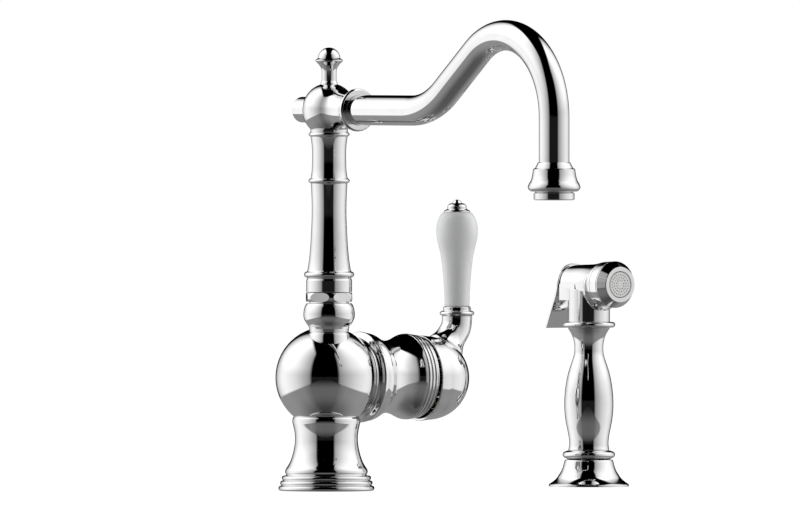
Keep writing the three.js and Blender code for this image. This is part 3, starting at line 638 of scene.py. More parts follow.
@dataclass
class Body:
    """The stepped foot, the ball with the valve arm, and the trim ring on the arm's end."""

    paint: Paintbox
    foot_r: float = 30.38
    hollow_r: float = 16.5
    arm_end: float = 60.3
    bore_r: float = 18.0
    bore_floor: float = 41.0
    fillet_start: float = 19.9
    arm_neck: list = field(default_factory=lambda: [
        (28.1, 27.9), (27.7, 31.4), (25.4, 36.1), (23.4, 41.5), (22.9, 45.8), (23.35, 49.6),
        (24.4, 53.4), (25.9, 57.0), (26.9, 59.4), (27.1, 60.1)])
    ridges: tuple = ((27.2, 61.9), (26.8, 64.7), (26.4, 67.5))

    def build(self) -> None:
        """Make every piece of the sub-assembly."""
        self.foot()
        self.ball_and_arm()
        self.trim_ring()

    def foot(self) -> None:
        """Turn the foot: three rings with deep grooves, the swelling waist and the cup for the ball."""
        cup_r = BALL_R + JOINT
        waist = spline([(25.5, 10.1), (25.95, 11.0), (26.15, 12.2), (25.9, 13.3), (25.0, 14.8),
                        (23.5, 17.3), (21.75, 21.7), (20.5, 26.8), (19.85, 32.6), (20.35, 38.1),
                        (21.5, 43.0)])
        edge_angle = -math.degrees(math.acos(20.7 / cup_r))
        floor_angle = -math.degrees(math.acos(self.hollow_r / cup_r))
        outline = [
            (29.3, 0, 0.1), *bead(1.55, self.foot_r, 1.45, 1.0), (28.6, 3.3, 0.1),
            *bead(4.85, 29.25, 1.4, 0.95), (27.4, 6.5, 0.1),
            *bead(8.05, 28.28, 1.4, 0.95), (25.3, 9.75, 0.15), *waist,
            (21.55, 44.4, 0.4), (21.4, 45.6, 0.4), (20.95, 46.5, 0.2),
            *arc(0, BALL_Z, cup_r, edge_angle, floor_angle, 10),
            (self.hollow_r, 20), (22, 8), (22, 0), (24, 0), (24, 1.5), (28.7, 1.5), (28.7, 0),
        ]
        self.paint.dress(turned("stepped_foot", outline), "faucet_body", "base_foot")

    def ball_and_arm(self) -> None:
        """Turn the ball and the valve arm as one casting about the arm's axis."""
        leave = math.degrees(math.asin(self.fillet_start / BALL_R))
        fillet = spline([(25.3, self.fillet_start), (24.75, 20.9), (24.45, 21.9), (24.5, 22.9),
                         (25.0, 23.9), (26.2, 24.8), (27.6, 25.3)], 0.4)
        outline = [
            *arc(0, 0, BALL_R, -90, leave - 0.8, 90), *fillet,
            (28.4, 25.6, 0.3), (28.75, 26.4, 0.6), (28.45, 27.4, 0.4),
            *spline(self.arm_neck),
            (26.9, self.arm_end, 0.1), (self.bore_r, self.arm_end), (self.bore_r, self.bore_floor),
            (0, self.bore_floor),
        ]
        casting = turned("ball_and_arm", outline, Axis.ARM, (0, 0, BALL_Z))
        combine(casting, [rod("hollow", 30, 62, self.hollow_r - 0.2)])
        self.paint.dress(casting, "faucet_body", "valve_body")

    def trim_ring(self) -> None:
        """Turn the ring: three ridges that step down, and a shoulder inside the lever's rim."""
        start = self.arm_end + 0.08
        ridges = [corner for r, x in self.ridges for corner in bead(x, r, 1.3, 0.95)]
        outline = [(26.2, start, 0.1), *ridges, (25.25, 69.0, 0.1), (25.2, 69.4, 0.2),
                   (25.2, 70.2, 0.3), (21, 70.2), (21, 68.4), (18.3, 68.4), (18.3, start)]
        ring = turned("ridged_trim_ring", outline, Axis.ARM, (0, 0, BALL_Z))
        self.paint.dress(ring, "faucet_body", "trim_ring")


# ------------------------------------------------------------------------- spout seat

@dataclass
class SpoutSeat:
    """The bulb that carries the spout, and the gland nut with six flats on top of it."""

    paint: Paintbox
    top_z: float = 118.6
    flat_distance: float = 14.2
    nut_low: float = 119.6
    nut_high: float = 125.3

    def build(self) -> None:
        """Make every piece of the sub-assembly."""
        self.bulb()
        self.gland_nut()

    def bulb(self) -> None:
        """Turn the pedestal and the bulb, and fit the pedestal to the ball below it."""
        skirt = spline([(14.9, 84), (14.35, 91), (13.5, 95.5), (12.85, 99.1)])
        curve = spline([(13.25, 104.3), (14.2, 105.6), (15.2, 107.1), (16.0, 109.2), (16.27, 111.4),
                        (16.0, 114.1), (15.1, 117.2), (14.3, self.top_z - 0.1)])
        outline = [(14.9, 80), *skirt, (12.6, 99.7, 0.2), (11.9, 100.05, 0.1), (11.9, 100.5, 0.1),
                   (12.35, 100.9, 0.3), (12.5, 102.4, 0.6), (12.9, 103.9, 0.3),
                   *curve, (13.8, self.top_z, 0.2), (12.4, self.top_z), (12.4, 123),
                   (9.7, 123), (9.7, 104), (5.2, 104), (5.2, 80)]
        bulb = turned("spout_bulb", outline, at=COLUMN_AT)
        combine(bulb, [turned("ball", arc(0, 0, BALL_R + JOINT, -90, 90, 90), at=(0, 0, BALL_Z))])
        self.paint.dress(bulb, "faucet_body", "spout_seat")

    def gland_nut(self) -> None:
        """Turn the crowned ring and mill its six flats, one of them facing the front."""
        middle = (self.nut_low + self.nut_high) / 2
        crown = [(r, z, 0.0) for r, z, _ in arc(11.6, middle, 4.0, -42, 42, 14)]
        outline = [(14.2, self.nut_low, 0.2), *crown, (14.2, self.nut_high, 0.2),
                   (12.7, self.nut_high), (12.7, self.nut_low)]
        nut = turned("gland_nut_hex", outline, at=COLUMN_AT)
        corner_r = self.flat_distance / math.cos(math.radians(30))
        hexagon = [(corner_r * math.cos(math.radians(60 * k)),
                    corner_r * math.sin(math.radians(60 * k))) for k in range(6)]
        flats = plate("flats", hexagon, self.nut_low - 3, self.nut_high + 3,
                      Matrix.Translation(Vector(COLUMN_AT)))
        combine(nut, [flats], Cut.KEEP_COMMON)
        soften(nut, 0.15, 12, 2)
        self.paint.dress(nut, "faucet_body", "gland_nut")


# ------------------------------------------------------------------------- spout

@dataclass
class Spout:
    """Everything that swivels: column, top ball, finial, plug, collar, swan neck and aerator."""

    paint: Paintbox
    hub_r: float = 17.0
    hub_z: float = 240.7
    tube_r: float = 9.525
    tube_bore_r: float = 8.4
    rise_degrees: float = 36.9
    bend_r: float = 60.0
    arch_r: float = 51.3
    arch_reach: float = 190.8
    arch_z: float = 236.9
    tube_start: float = 17.3
    tube_end_z: float = 199.3
    nozzle_z: float = 191.0
    screen_r: float = 9.9
    screen_pitch: float = 2.9

    def build(self) -> None:
        """Make every piece of the sub-assembly."""
        self.column()
        self.hub()
        self.finial()
        self.plug_and_collar()
        self.swan_neck()
        self.nozzle()

    def column(self) -> None:
        """Turn the column with its foot band, three beads and slender waists."""
        cup_r = self.hub_r + JOINT
        lower = spline([(13.75, 139.3), (13.3, 141.8), (12.75, 145.6), (12.1, 151.9), (11.3, 164.5),
                        (10.92, 177), (11.25, 189.5), (11.5, 193.9)])
        upper = spline([(11.6, 198), (11.1, 201.2), (10.75, 206.5), (10.7, 212.5), (10.95, 218.4),
                        (11.6, 223.2)])
        neck_angle = -math.degrees(math.acos(11.8 / cup_r))
        outline = [
            (9, 106), (9, 125.6), (14.5, 125.6, 0.3), (14.5, 133.1, 0.4), (13.9, 134.3, 0.2),
            *bead(136.7, 15.85, 1.95), *lower, (11.6, 194.3, 0.1),
            *bead(195.95, 13.05, 1.45), *upper, *bead(225.2, 12.95, 1.35), (11.8, 226.9, 0.2),
            *arc(0, self.hub_z, cup_r, neck_angle, -math.degrees(math.acos(6 / cup_r)), 6),
            (6, 106),
        ]
        self.paint.dress(turned("turned_column", outline, at=COLUMN_AT), "spout", "spout_column")

    def hub(self) -> None:
        """Turn the top ball and bore it for the column, the finial, the plug and the spout."""
        hub = turned("top_ball", arc(0, self.hub_z, self.hub_r, -90, 90, 72), at=COLUMN_AT)
        middle = (*COLUMN_AT[:2], self.hub_z)
        combine(hub, [rod("bore", low, high, radius, axis, at) for low, high, radius, axis, at in (
            (self.hub_z - 20, self.hub_z, 5.8, Axis.UP, COLUMN_AT), (-2, 20, 9.2, Axis.FRONT, middle),
            (8, 20, 5.2, Axis.BACK, middle), (249, 262, 3.3, Axis.UP, COLUMN_AT))])
        self.paint.dress(hub, "spout", "spout_hub")

    def finial(self) -> None:
        """Turn the finial: stem, opening cone, rim and small ball."""
        seat_z = self.hub_z + math.sqrt(self.hub_r ** 2 - 5.5 ** 2) + JOINT
        cone = spline([(4.7, 265.4), (5.3, 267.3), (6.6, 269.3), (8.3, 271.1)], 0.4)
        outline = [
            (0, 250), (3, 250), (3, seat_z), (5.5, seat_z, 0.2), (5.2, 258.0, 0.4),
            (4.7, 259.0, 0.6), *cone, (8.65, 271.6, 0.25), (8.65, 272.3, 0.25),
            *arc(0, 273, 7.1, 3, 90, 28),
        ]
        finial = turned("finial_ball", outline, at=COLUMN_AT, sides=SMALL_SIDES)
        self.paint.dress(finial, "spout", "finial")

    def plug_and_collar(self) -> None:
        """Turn the plug at the back, and the collar that grows out of the ball at the front."""
        hub_at = (*COLUMN_AT[:2], self.hub_z)
        plug_seat = math.sqrt(self.hub_r ** 2 - 8.15 ** 2) + JOINT
        outline = [(0, 8.6), (5, 8.6), (5, plug_seat), (8.15, plug_seat, 0.1), (8.15, 29.2, 0.8),
                   (6.6, 31.1, 0.8), (5.0, 31.6, 0.6), (0, 31.6)]
        plug = turned("rear_plug_bevelled", outline, Axis.BACK, hub_at, SMALL_SIDES)
        self.paint.dress(plug, "spout", "rear_plug")
        throat, seat_r, root = self.tube_r + JOINT, self.hub_r + JOINT, 13.9
        inner_angle, outer_angle = (math.degrees(math.acos(r / seat_r)) for r in (9, root))
        fillet = spline([(root, math.sqrt(seat_r ** 2 - root ** 2)), (13.2, 10.9), (12.4, 12.2),
                         (11.7, 13.8), (11.15, 16.2), (10.9, 19),
                         (10.85, 23), (11.2, 26.4), (12.0, 28.1), (12.9, 29.2)], 0.5)
        profile = [(6.5, 9), (9, 9), *arc(0, 0, seat_r, inner_angle, outer_angle, 12), *fillet,
                   (13.5, 30.5, 0.5), (13.5, 31.7, 0.4), (12.6, 32.6, 0.4),
                   (throat, 32.6, 0.2), (throat, 17), (6.5, 17)]
        collar = turned("spout_collar_flanged", profile, Axis.FRONT, hub_at)
        combine(collar, [rod("column_clear", 215, 228.5, 11.95, at=COLUMN_AT, sides=SIDES)])
        self.paint.dress(collar, "spout", "spout_collar")

    def neck_path(self) -> list[Vector]:
        """Lay the centre line of the swan neck.

        Returns:
            Points in millimetres from the collar to the bell.
        """
        rise = math.radians(self.rise_degrees)
        rise_end = (self.arch_reach - self.arch_r * math.sin(rise),
                    self.arch_z + self.arch_r * math.cos(rise))
        vertex = rise_end[0] - (rise_end[1] - self.hub_z) / math.tan(rise)
        bend_start = vertex - self.bend_r * math.tan(rise / 2)
        bend_end = (bend_start + self.bend_r * math.sin(rise),
                    self.hub_z + self.bend_r * (1 - math.cos(rise)))
        flat = [(self.tube_start + (bend_start - self.tube_start) * i / 8, self.hub_z)
                for i in range(8)]
        flat += [(bend_start + self.bend_r * math.sin(a), self.hub_z + self.bend_r * (1 - math.cos(a)))
                 for a in (rise * i / 24 for i in range(25))]
        flat += [(bend_end[0] + (rise_end[0] - bend_end[0]) * i / 6,
                  bend_end[1] + (rise_end[1] - bend_end[1]) * i / 6) for i in range(1, 6)]
        flat += [(self.arch_reach - self.arch_r * math.sin(a), self.arch_z + self.arch_r * math.cos(a))
                 for a in (rise - (rise + math.pi / 2) * i / 72 for i in range(73))]
        reach = self.arch_reach + self.arch_r
        flat += [(reach, self.arch_z + (self.tube_end_z - self.arch_z) * i / 6)
                 for i in range(1, 7)]
        return [Vector((COLUMN_AT[0], COLUMN_AT[1] - f, z)) for f, z in flat]

    def swan_neck(self) -> None:
        """Bend the spout's tube."""
        path = self.neck_path()
        tube = swept("swan_neck_tube", path, Vector((1, 0, 0)), [self.tube_r] * len(path),
                     self.tube_bore_r, 128)
        self.paint.dress(tube, "spout", "spout_tube")

    def nozzle(self) -> None:
        """Turn the bell, the aerator's ring and its perforated screen."""
        at = (COLUMN_AT[0], COLUMN_AT[1] - self.arch_reach - self.arch_r, 0.0)
        throat, low = self.tube_r + JOINT, self.nozzle_z
        flare = spline([(13.15, 204.9), (13.6, 201.6), (14.3, 198.6), (14.9, 197.2)], 0.5)
        lip = spline([(15.1, 196.9), (15.9, 195.5), (16.4, 193.9), (16.0, 192.3), (14.6, 191.1)], 0.3)
        bell = [(13.9, low, 0.2), (14.4, low, 0.2), *lip[::-1], *flare[::-1], (12.7, 205.3, 0.2),
                (12.0, 205.45, 0.2), (10.2, 208.9, 0.3), (throat, 209.3, 0.1), (throat, 199),
                (12.2, 199), (12.2, low, 0.2)]
        self.paint.dress(turned("spout_bell", bell, at=at), "spout", "aerator_housing")
        ring = [(12.1, 185.6, 0.4), (12.75, 186.1, 0.4), (12.75, 189.9, 0.2), (12.1, 190.4, 0.2),
                (11.9, 190.7), (11.9, 196.6), (10.2, 196.6), (10.2, 189.4, 0.3), (9.3, 187.6, 0.4),
                (9.3, 185.6, 0.4)]
        self.paint.dress(turned("aerator_ring", ring, at=at), "spout", "aerator_shell")
        self.screen(at)

    def screen(self, at: tuple[float, float, float]) -> None:
        """Make the aerator's screen with its honeycomb of drilled holes.

        Args:
            at: foot of the nozzle's axis.
        """
        outline = [(0, 190.2), (self.screen_r, 190.2, 0.2), (self.screen_r, 192, 0.2), (0, 192)]
        screen = turned("aerator_honeycomb", outline, at=at, sides=SMALL_SIDES)
        pitch = self.screen_pitch
        spots = [(pitch * (i + j / 2), pitch * j * math.sqrt(3) / 2)
                 for i in range(-4, 5) for j in range(-3, 4)]
        holes = [drilled("hole", (at[0] + x, at[1] + y, 188), (0, 0, 1), 6, 1.0)
                 for x, y in spots if math.hypot(x, y) < 8.6]
        combine(screen, [merged(holes)])
        self.paint.dress(screen, "spout", "aerator_screen", WHITE_ACETAL, Slot.WHITE)


def drilled(name: str, start: Sequence[float], way: Sequence[float], length: float,
            radius: float, sides: int = 16) -> bpy.types.Object:
    """Make the solid that a drill takes out.

    Args:
        name: object name.
        start: where it starts.
        way: unit direction.
        length: how deep it goes.
        radius: radius of the drill.
        sides: facets round it.

    Returns:
        The solid.
    """
    turn = Vector((0, 0, 1)).rotation_difference(Vector(way)).to_matrix().to_4x4()
    ring = [(radius * math.cos(2 * math.pi * k / sides), radius * math.sin(2 * math.pi * k / sides))
            for k in range(sides)]
    return plate(name, ring, 0, length, Matrix.Translation(Vector(start)) @ turn)


def merged(shapes: Sequence[bpy.types.Object]) -> bpy.types.Object:
    """Put several separate solids in one object.

    Args:
        shapes: solids that don't touch.

    Returns:
        The first of them, which now holds all.
    """
    work = bmesh.new()
    for shape in shapes:
        work.from_mesh(shape.data)
    work.to_mesh(shapes[0].data)
    work.free()
    for shape in shapes[1:]:
        bpy.data.objects.remove(shape)
    return shapes[0]


# ------------------------------------------------------------------------- lever

@dataclass
class Lever:
    """The domed lever casting with its bent arm, the collar, the porcelain grip and its cap."""

    paint: Paintbox
    dome_x: float = 78.5
    dome_z: float = 70.4
    dome_r: float = 26.5
    wall: float = 1.5
    rim: float = -7.3
    rim_r: float = 27.1
    lean_degrees: float = 35.4
    grip_x: float = 101.6
    arm_r: float = 9.55
    arm_root: float = 18.0       # along the arm from the dome's middle, as are the next three
    knee: float = 36.4
    flare_start: float = 25.5
    flare_length: float = 7.5
    flare: float = 2.1           # how much wider the arm is where its flare starts
    flare_most_r: float = 12.0
    collar_low: float = 109.5
    grip_low: float = 115.7
    grip_high: float = 175.4

    def build(self) -> None:
        """Make every piece of the sub-assembly."""
        self.casting()
        self.collar()
        self.grip()
        self.cap()

    def casting(self) -> None:
        """Make the dome and its arm as one casting."""
        inner, rim_inner = self.dome_r - self.wall, self.rim_r - self.wall
        centre = (self.dome_x, 0, self.dome_z)
        skirt = spline([(self.rim_r, self.rim), (self.rim_r - 0.15, self.rim + 3),
                        (self.dome_r, 0)], 1.0)[1:-1]
        shell = [(0, inner, 0.0), *arc(0, 0, inner, 89, 1, 50), (rim_inner, self.rim, 0.3),
                 (self.rim_r, self.rim, 0.4), *skirt, *arc(0, 0, self.dome_r, 1, 90, 64)]
        dome = turned("lever_dome_and_arm", shell, Axis.ARM, centre)
        combine(dome, [self.arm()], Cut.JOIN)
        room = turned("room", [(0, -3), *arc(0, 0, inner - 0.05, 0, 90, 40)], Axis.ARM, centre)
        combine(dome, [room])
        soften(dome, 0.5, 35, 3)
        self.paint.dress(dome, "lever", "lever_casting")

    def arm(self) -> bpy.types.Object:
        """Sweep the arm: flared where it leaves the dome, then bent upright under the grip.

        Returns:
            The arm's solid.
        """
        lean = math.radians(self.lean_degrees)
        way = Vector((math.sin(lean), 0, math.cos(lean)))
        centre = Vector((self.dome_x, 0, self.dome_z))
        start, knee = centre + way * self.arm_root, centre + way * self.knee
        corner = centre + way * ((self.grip_x - self.dome_x) / math.sin(lean))
        end = Vector((self.grip_x, 0, self.collar_low - JOINT))
        path = [start + (knee - start) * i / 20 for i in range(20)]
        for i in range(29):
            t = i / 28
            path.append(knee * (1 - t) ** 2 + corner * 2 * t * (1 - t) + end * t * t)
        radii = []
        for point in path:
            past = ((point - centre).length - self.flare_start) / self.flare_length
            wider = self.flare * max(0.0, 1 - past) ** 2
            radii.append(min(self.arm_r + wider, self.flare_most_r))
        return swept("arm", path, Vector((0, 1, 0)), radii)

    def collar(self) -> None:
        """Turn the collar under the grip."""
        outline = [(9.4, self.collar_low, 0.2), *bead(111.2, 11.0, 1.4), (8.9, 112.9, 0.3),
                   (8.8, 115.1, 0.2), (8.0, self.grip_low - 0.1, 0.2), (2.9, self.grip_low - 0.1),
                   (2.9, self.collar_low)]
        shape = turned("grip_collar", outline, at=(self.grip_x, 0, 0), sides=SMALL_SIDES)
        self.paint.dress(shape, "lever", "handle_collar")

    def grip(self) -> None:
        """Turn the porcelain grip."""
        low, high = self.grip_low, self.grip_high
        side = spline([(7.95, low + 0.4), (8.0, 120), (8.25, 126), (8.65, 132.3), (9.2, 138.6),
                       (9.9, 144.9), (11.05, 151.2), (12.6, 157.6), (13.1, 160.7), (13.2, 163.5),
                       (12.95, 166.9), (12.35, 169.6), (11.65, 171.5), (10.7, 173.3), (9.7, 174.6)])
        outline = [(7.7, low, 0.2), *side, (8.7, high, 0.3), (5.4, high), (5.4, high - 1.5),
                   (2.9, high - 1.5), (2.9, low + 1.5), (5.4, low + 1.5), (5.4, low, 0.2)]
        shape = turned("porcelain_grip_turned", outline, at=(self.grip_x, 0, 0))
        self.paint.dress(shape, "lever", "porcelain_grip", GLAZED_PORCELAIN, Slot.PORCELAIN)

    def cap(self) -> None:
        """Turn the cap with its button."""
        foot = self.grip_high + 0.1
        outline = [(0, foot + 5.2), (2.6, foot + 5.2), (2.6, foot), (8.3, foot, 0.15),
                   (8.35, foot + 0.6, 0.3), (7.6, foot + 1.2, 0.3), (6.2, foot + 1.9, 0.2),
                   (6.15, foot + 3.5, 0.6), (5.6, foot + 4.6, 0.5), (4.6, foot + 5.3, 0.3),
                   (3.2, foot + 5.7, 0.2), (2.75, foot + 6.4, 0.3), (1.9, foot + 7.4, 0.4),
                   (0, foot + 8)]
        shape = turned("grip_cap_button", outline, at=(self.grip_x, 0, 0), sides=SMALL_SIDES)
        self.paint.dress(shape, "lever", "grip_cap")


# ------------------------------------------------------------------------- hand spray

@dataclass
class HandSpray:
    """The flared holder on the deck and the hand spray that stands in it."""

    paint: Paintbox
    x: float = 205.0
    holder_r: float = 25.6
    holder_top: float = 17.0
    head_z: float = 128.9
    head_r: float = 12.8
    head_back: float = -15.3
    head_floor: float = 118.7
    valve_z: float = 125.9
    neck_r: float = 13.4
    head_front: float = 19.95
    chin_drop: float = 1.9
    face_front: float = 34.05
    hole_rings: tuple = ((2.8, 10), (4.5, 16), (6.35, 23))    # radius of the ring, number of holes
    hole_r: float = 0.42
    plate_thickness: float = 1.7
    plate_half: float = 14.0
    plate_foot: float = 95.0
    lug_half: float = 4.5

    def build(self) -> None:
        """Make every piece of the sub-assembly."""
        self.holder()
        self.rings_and_handle()
        self.head()
        self.bezel()
        self.face()
        self.trigger()

    def holder(self) -> None:
        """Turn the flared holder."""
        flare = spline([(25.0, 1.75), (23.6, 2.7), (21.9, 4.0), (20.6, 5.25), (19.7, 6.5),
                        (18.85, 7.8), (18.1, 9.0), (17.4, 10.3), (16.85, 11.6), (16.1, 14.1),
                        (15.55, 16.3)], 0.5)
        outline = [(self.holder_r, 0, 0.2), (self.holder_r, 1.2, 0.3), *flare,
                   (15.1, self.holder_top, 0.3), (12.6, self.holder_top, 0.3), (12.6, 5),
                   (16.6, 1.5), (16.6, 0), (17, 0), (17, 1.5), (22.5, 1.5), (22.5, 0)]
        holder = turned("flared_holder", outline, at=(self.x, 0, 0))
        self.paint.dress(holder, "faucet_body", "spray_holder")

    def rings_and_handle(self) -> None:
        """Turn the two rings and the baluster handle between them."""
        at = (self.x, 0, 0)
        foot = [(13.6, 17.3, 0.2), *bead(20.2, 16.75, 2.35, 2.6), (13.9, 22.8, 0.2), (7, 22.8),
                (7, 17.3)]
        self.paint.dress(turned("handle_foot_bead", foot, at=at), "handset", "handle_foot_ring")
        side = spline([(13.1, 23.4), (12.65, 25.6), (12.62, 29.5), (13.4, 34.6), (14.85, 42),
                       (15.55, 48.6), (15.6, 56), (14.85, 63.7), (13.2, 72.2), (10.95, 79.3),
                       (9.5, 84.2), (9.15, 88.4), (9.7, 93.0), (11.15, 97.1), (13.2, 100.5)])
        handle = [(4.5, 12), (6.4, 12), (6.4, 23), (13.0, 23, 0.1), *side, (13.5, 101, 0.1),
                  (6.4, 101), (6.4, 110), (4.5, 110)]
        self.paint.dress(turned("baluster_handle", handle, at=at), "handset", "spray_handle")
        top = [(13.9, 101.2, 0.2), *bead(103, 16.85, 1.75), (13.9, 104.9, 0.2), (7, 104.9),
               (7, 101.2)]
        self.paint.dress(turned("handle_top_bead", top, at=at), "handset", "handle_top_ring")

    def head(self) -> None:
        """Make the head: a barrel that widens to the front, its fuller underside, and the neck."""
        head_at = (self.x, 0, self.head_z)
        barrel = turned("spray_head_casting", [
            (0, self.head_back), (11.6, self.head_back, 0.3), (12.1, self.head_back + 0.8, 0.5),
            *spline([(12.1, -12.5), (12.45, -2), (12.8, 7), (13.45, 13), (14.15, 17)], 0.8),
            (14.4, 18.6, 0.8), (14.4, self.head_front, 0.2), (0, self.head_front)],
            Axis.FRONT, head_at)
        chin = turned("chin", [
            (0, 7), *spline([(11.2, 7), (12.4, 10.5), (13.9, 13.2)], 0.8), (14.9, 14.5, 0.6),
            (14.9, 15.6, 0.8), (12.6, 19.4, 0.2), (0, 19.4)],
            Axis.FRONT, (self.x, 0, self.head_z - self.chin_drop))
        corner, flat = 1.0, self.head_r - 0.02
        rear = [(self.head_back + corner * (1 - math.sin(a)), flat - corner * (1 - math.cos(a)))
                for a in (math.radians(d) for d in range(0, 91, 15))]
        outline = [(2, flat), *rear, *[(x, -y) for x, y in rear[::-1]], (2, -flat)]
        to_front = Matrix(((0, 1, 0, self.x), (-1, 0, 0, 0), (0, 0, 1, 0), (0, 0, 0, 1)))
        block = plate("block", outline, self.head_floor, self.head_z, to_front)
        neck_top = self.head_z - 3
        neck = turned("neck", [(0, 105.0), (self.neck_r, 105.0, 0.2), (self.neck_r, neck_top),
                               (0, neck_top)], at=(self.x, 0, 0))
        combine(barrel, [chin, block, neck], Cut.JOIN)
        front = (0, -1, 0)
        combine(barrel, [
            plate("lug_room", [(-20, -4.8), (-8, -4.8), (-8, 4.8), (-20, 4.8)], 132.2, 139, to_front),
            rod("face_room", 3, 22, 10.4, Axis.FRONT, head_at, SIDES),
            drilled("valve_chamber", (self.x, 10, self.valve_z), front, 15, 5.2, 48),
            drilled("plunger_hole", (self.x, 20, self.valve_z), front, 13, 2.3, 32),
            drilled("riser", (self.x, 0, 104), (0, 0, 1), 18, 4.5, 48),
            drilled("socket", (self.x, 0, 104), (0, 0, 1), 6.4, 6.9, 64)])
        soften(barrel, 0.3, 38, 3)
        self.paint.dress(barrel, "handset", "spray_head")

    def bezel(self) -> None:
        """Turn the bezel round the spray face."""
        back, front = self.head_front + JOINT, self.face_front
        side = spline([(14.5, 20.9), (14.65, 24), (14.7, 26.8)], 0.8)
        outline = [(10.7, back), (14.3, back, 0.2), (14.5, 20.5, 0.3), *side, (14.7, 27.15, 0.1),
                   (14.3, 27.35, 0.05), (14.3, 27.6, 0.05), (14.8, 27.75, 0.15), (14.85, 28.5, 0.4),
                   (11.55, front - 0.5, 0.4), (11.2, front, 0.3), (8.65, front, 0.3),
                   (8.35, front - 0.5, 0.1), (8.35, 31.4), (10.7, 31.4)]
        shape = turned("face_bezel", outline, Axis.FRONT, (self.x, 0, self.head_z))
        self.paint.dress(shape, "handset", "spray_bezel")

    def face(self) -> None:
        """Mould the spray face and drill its rings of holes."""
        front = self.face_front
        outline = [(0, 29), (10.4, 29, 0.2), (10.4, 31.1, 0.2), (8.05, 31.1, 0.1),
                   (8.05, front - 0.35, 0.2), (7.7, front - 0.1, 0.3), (0, front - 0.1)]
        face = turned("perforated_face", outline, Axis.FRONT, (self.x, 0, self.head_z), SMALL_SIDES)
        holes = []
        for radius, count in self.hole_rings:
            for k in range(count):
                a = 2 * math.pi * (k + 0.5) / count
                holes.append(drilled(
                    "hole", (self.x + radius * math.cos(a), -31.6, self.head_z + radius * math.sin(a)),
                    (0, -1, 0), 3, self.hole_r, 14))
        combine(face, [merged(holes)])
        self.paint.dress(face, "handset", "spray_face", SPRAY_SILICONE, Slot.WHITE)

    def trigger(self) -> None:
        """Bend the trigger plate, round at the top like the head, and give it its lug."""
        inner = rounded([(-15.7, 143), (-15.7, 132, 8), (-16.1, 126.6, 6), (-17.7, 121.6, 3),
                         (-28.2, 100.6)], closed=False)
        outer = []
        for i, (x, z) in enumerate(inner):
            ahead = Vector(inner[min(i + 1, len(inner) - 1)]) - Vector(inner[max(i - 1, 0)])
            ahead.normalize()
            outer.append((x + self.plate_thickness * ahead.y, z - self.plate_thickness * ahead.x))
        # local x towards the front, local y up, local z across
        sideways = Matrix(((0, 0, 1, self.x), (-1, 0, 0, 0), (0, 1, 0, 0), (0, 0, 0, 1)))
        shape = plate("trigger_plate", inner + outer[::-1], -self.plate_half, self.plate_half,
                      sideways)
        # the outline as seen from behind: local x across, local y up, local z backwards
        from_behind = Matrix(((1, 0, 0, self.x), (0, 0, 1, 0), (0, 1, 0, 0), (0, 0, 0, 1)))
        half = self.head_r + 0.3
        top = [(r, z) for r, z, _ in arc(0, 0, half, 0, 90, 24)]
        outline = [(half, self.plate_foot), *[(x, self.head_z + z) for x, z in top],
                   *[(-x, self.head_z + z) for x, z in top[-2::-1]], (-half, self.plate_foot)]
        combine(shape, [plate("outline", outline, 8, 32, from_behind)], Cut.KEEP_COMMON)
        lug = plate("lug", [(-16.2, 133), (-9.2, 133), (-9.2, 137.9), (-16.2, 137.9)],
                    -self.lug_half, self.lug_half, sideways)
        combine(shape, [lug], Cut.JOIN)
        soften(shape, 0.35, 35, 3)
        self.paint.dress(shape, "trigger", "spray_trigger")


# ------------------------------------------------------------------------- inner pieces

KEPT_NODES: dict[Finish, tuple[str, ...]] = {
    TURNED_BRASS: ("hot_inlet", "cold_inlet", "spray_outlet", "cartridge_nut", "hose_coupling",
                   "spray_plunger"),
    DRAWN_STEEL: ("diverter_spring", "lever_pin", "cartridge_stem", "lever_set_screw",
                  "grip_tie_rod", "trigger_pin", "plunger_spring"),
    LAPPED_CERAMIC: ("fixed_disc", "moving_disc"),
    MOULDED_RUBBER: ("base_gasket", "cartridge_seal", "grip_washer_lower", "grip_washer_upper",
                     "spout_o_ring_lower", "spout_o_ring_upper", "aerator_washer",
                     "holder_gasket", "coupling_washer", "face_gasket"),
    WHITE_ACETAL: ("swivel_bushing", "cartridge_housing", "diverter_piston"),
    BLACK_ACETAL: ("cartridge_rotor", "holder_guide"),
}


# ------------------------------------------------------------------------- studio

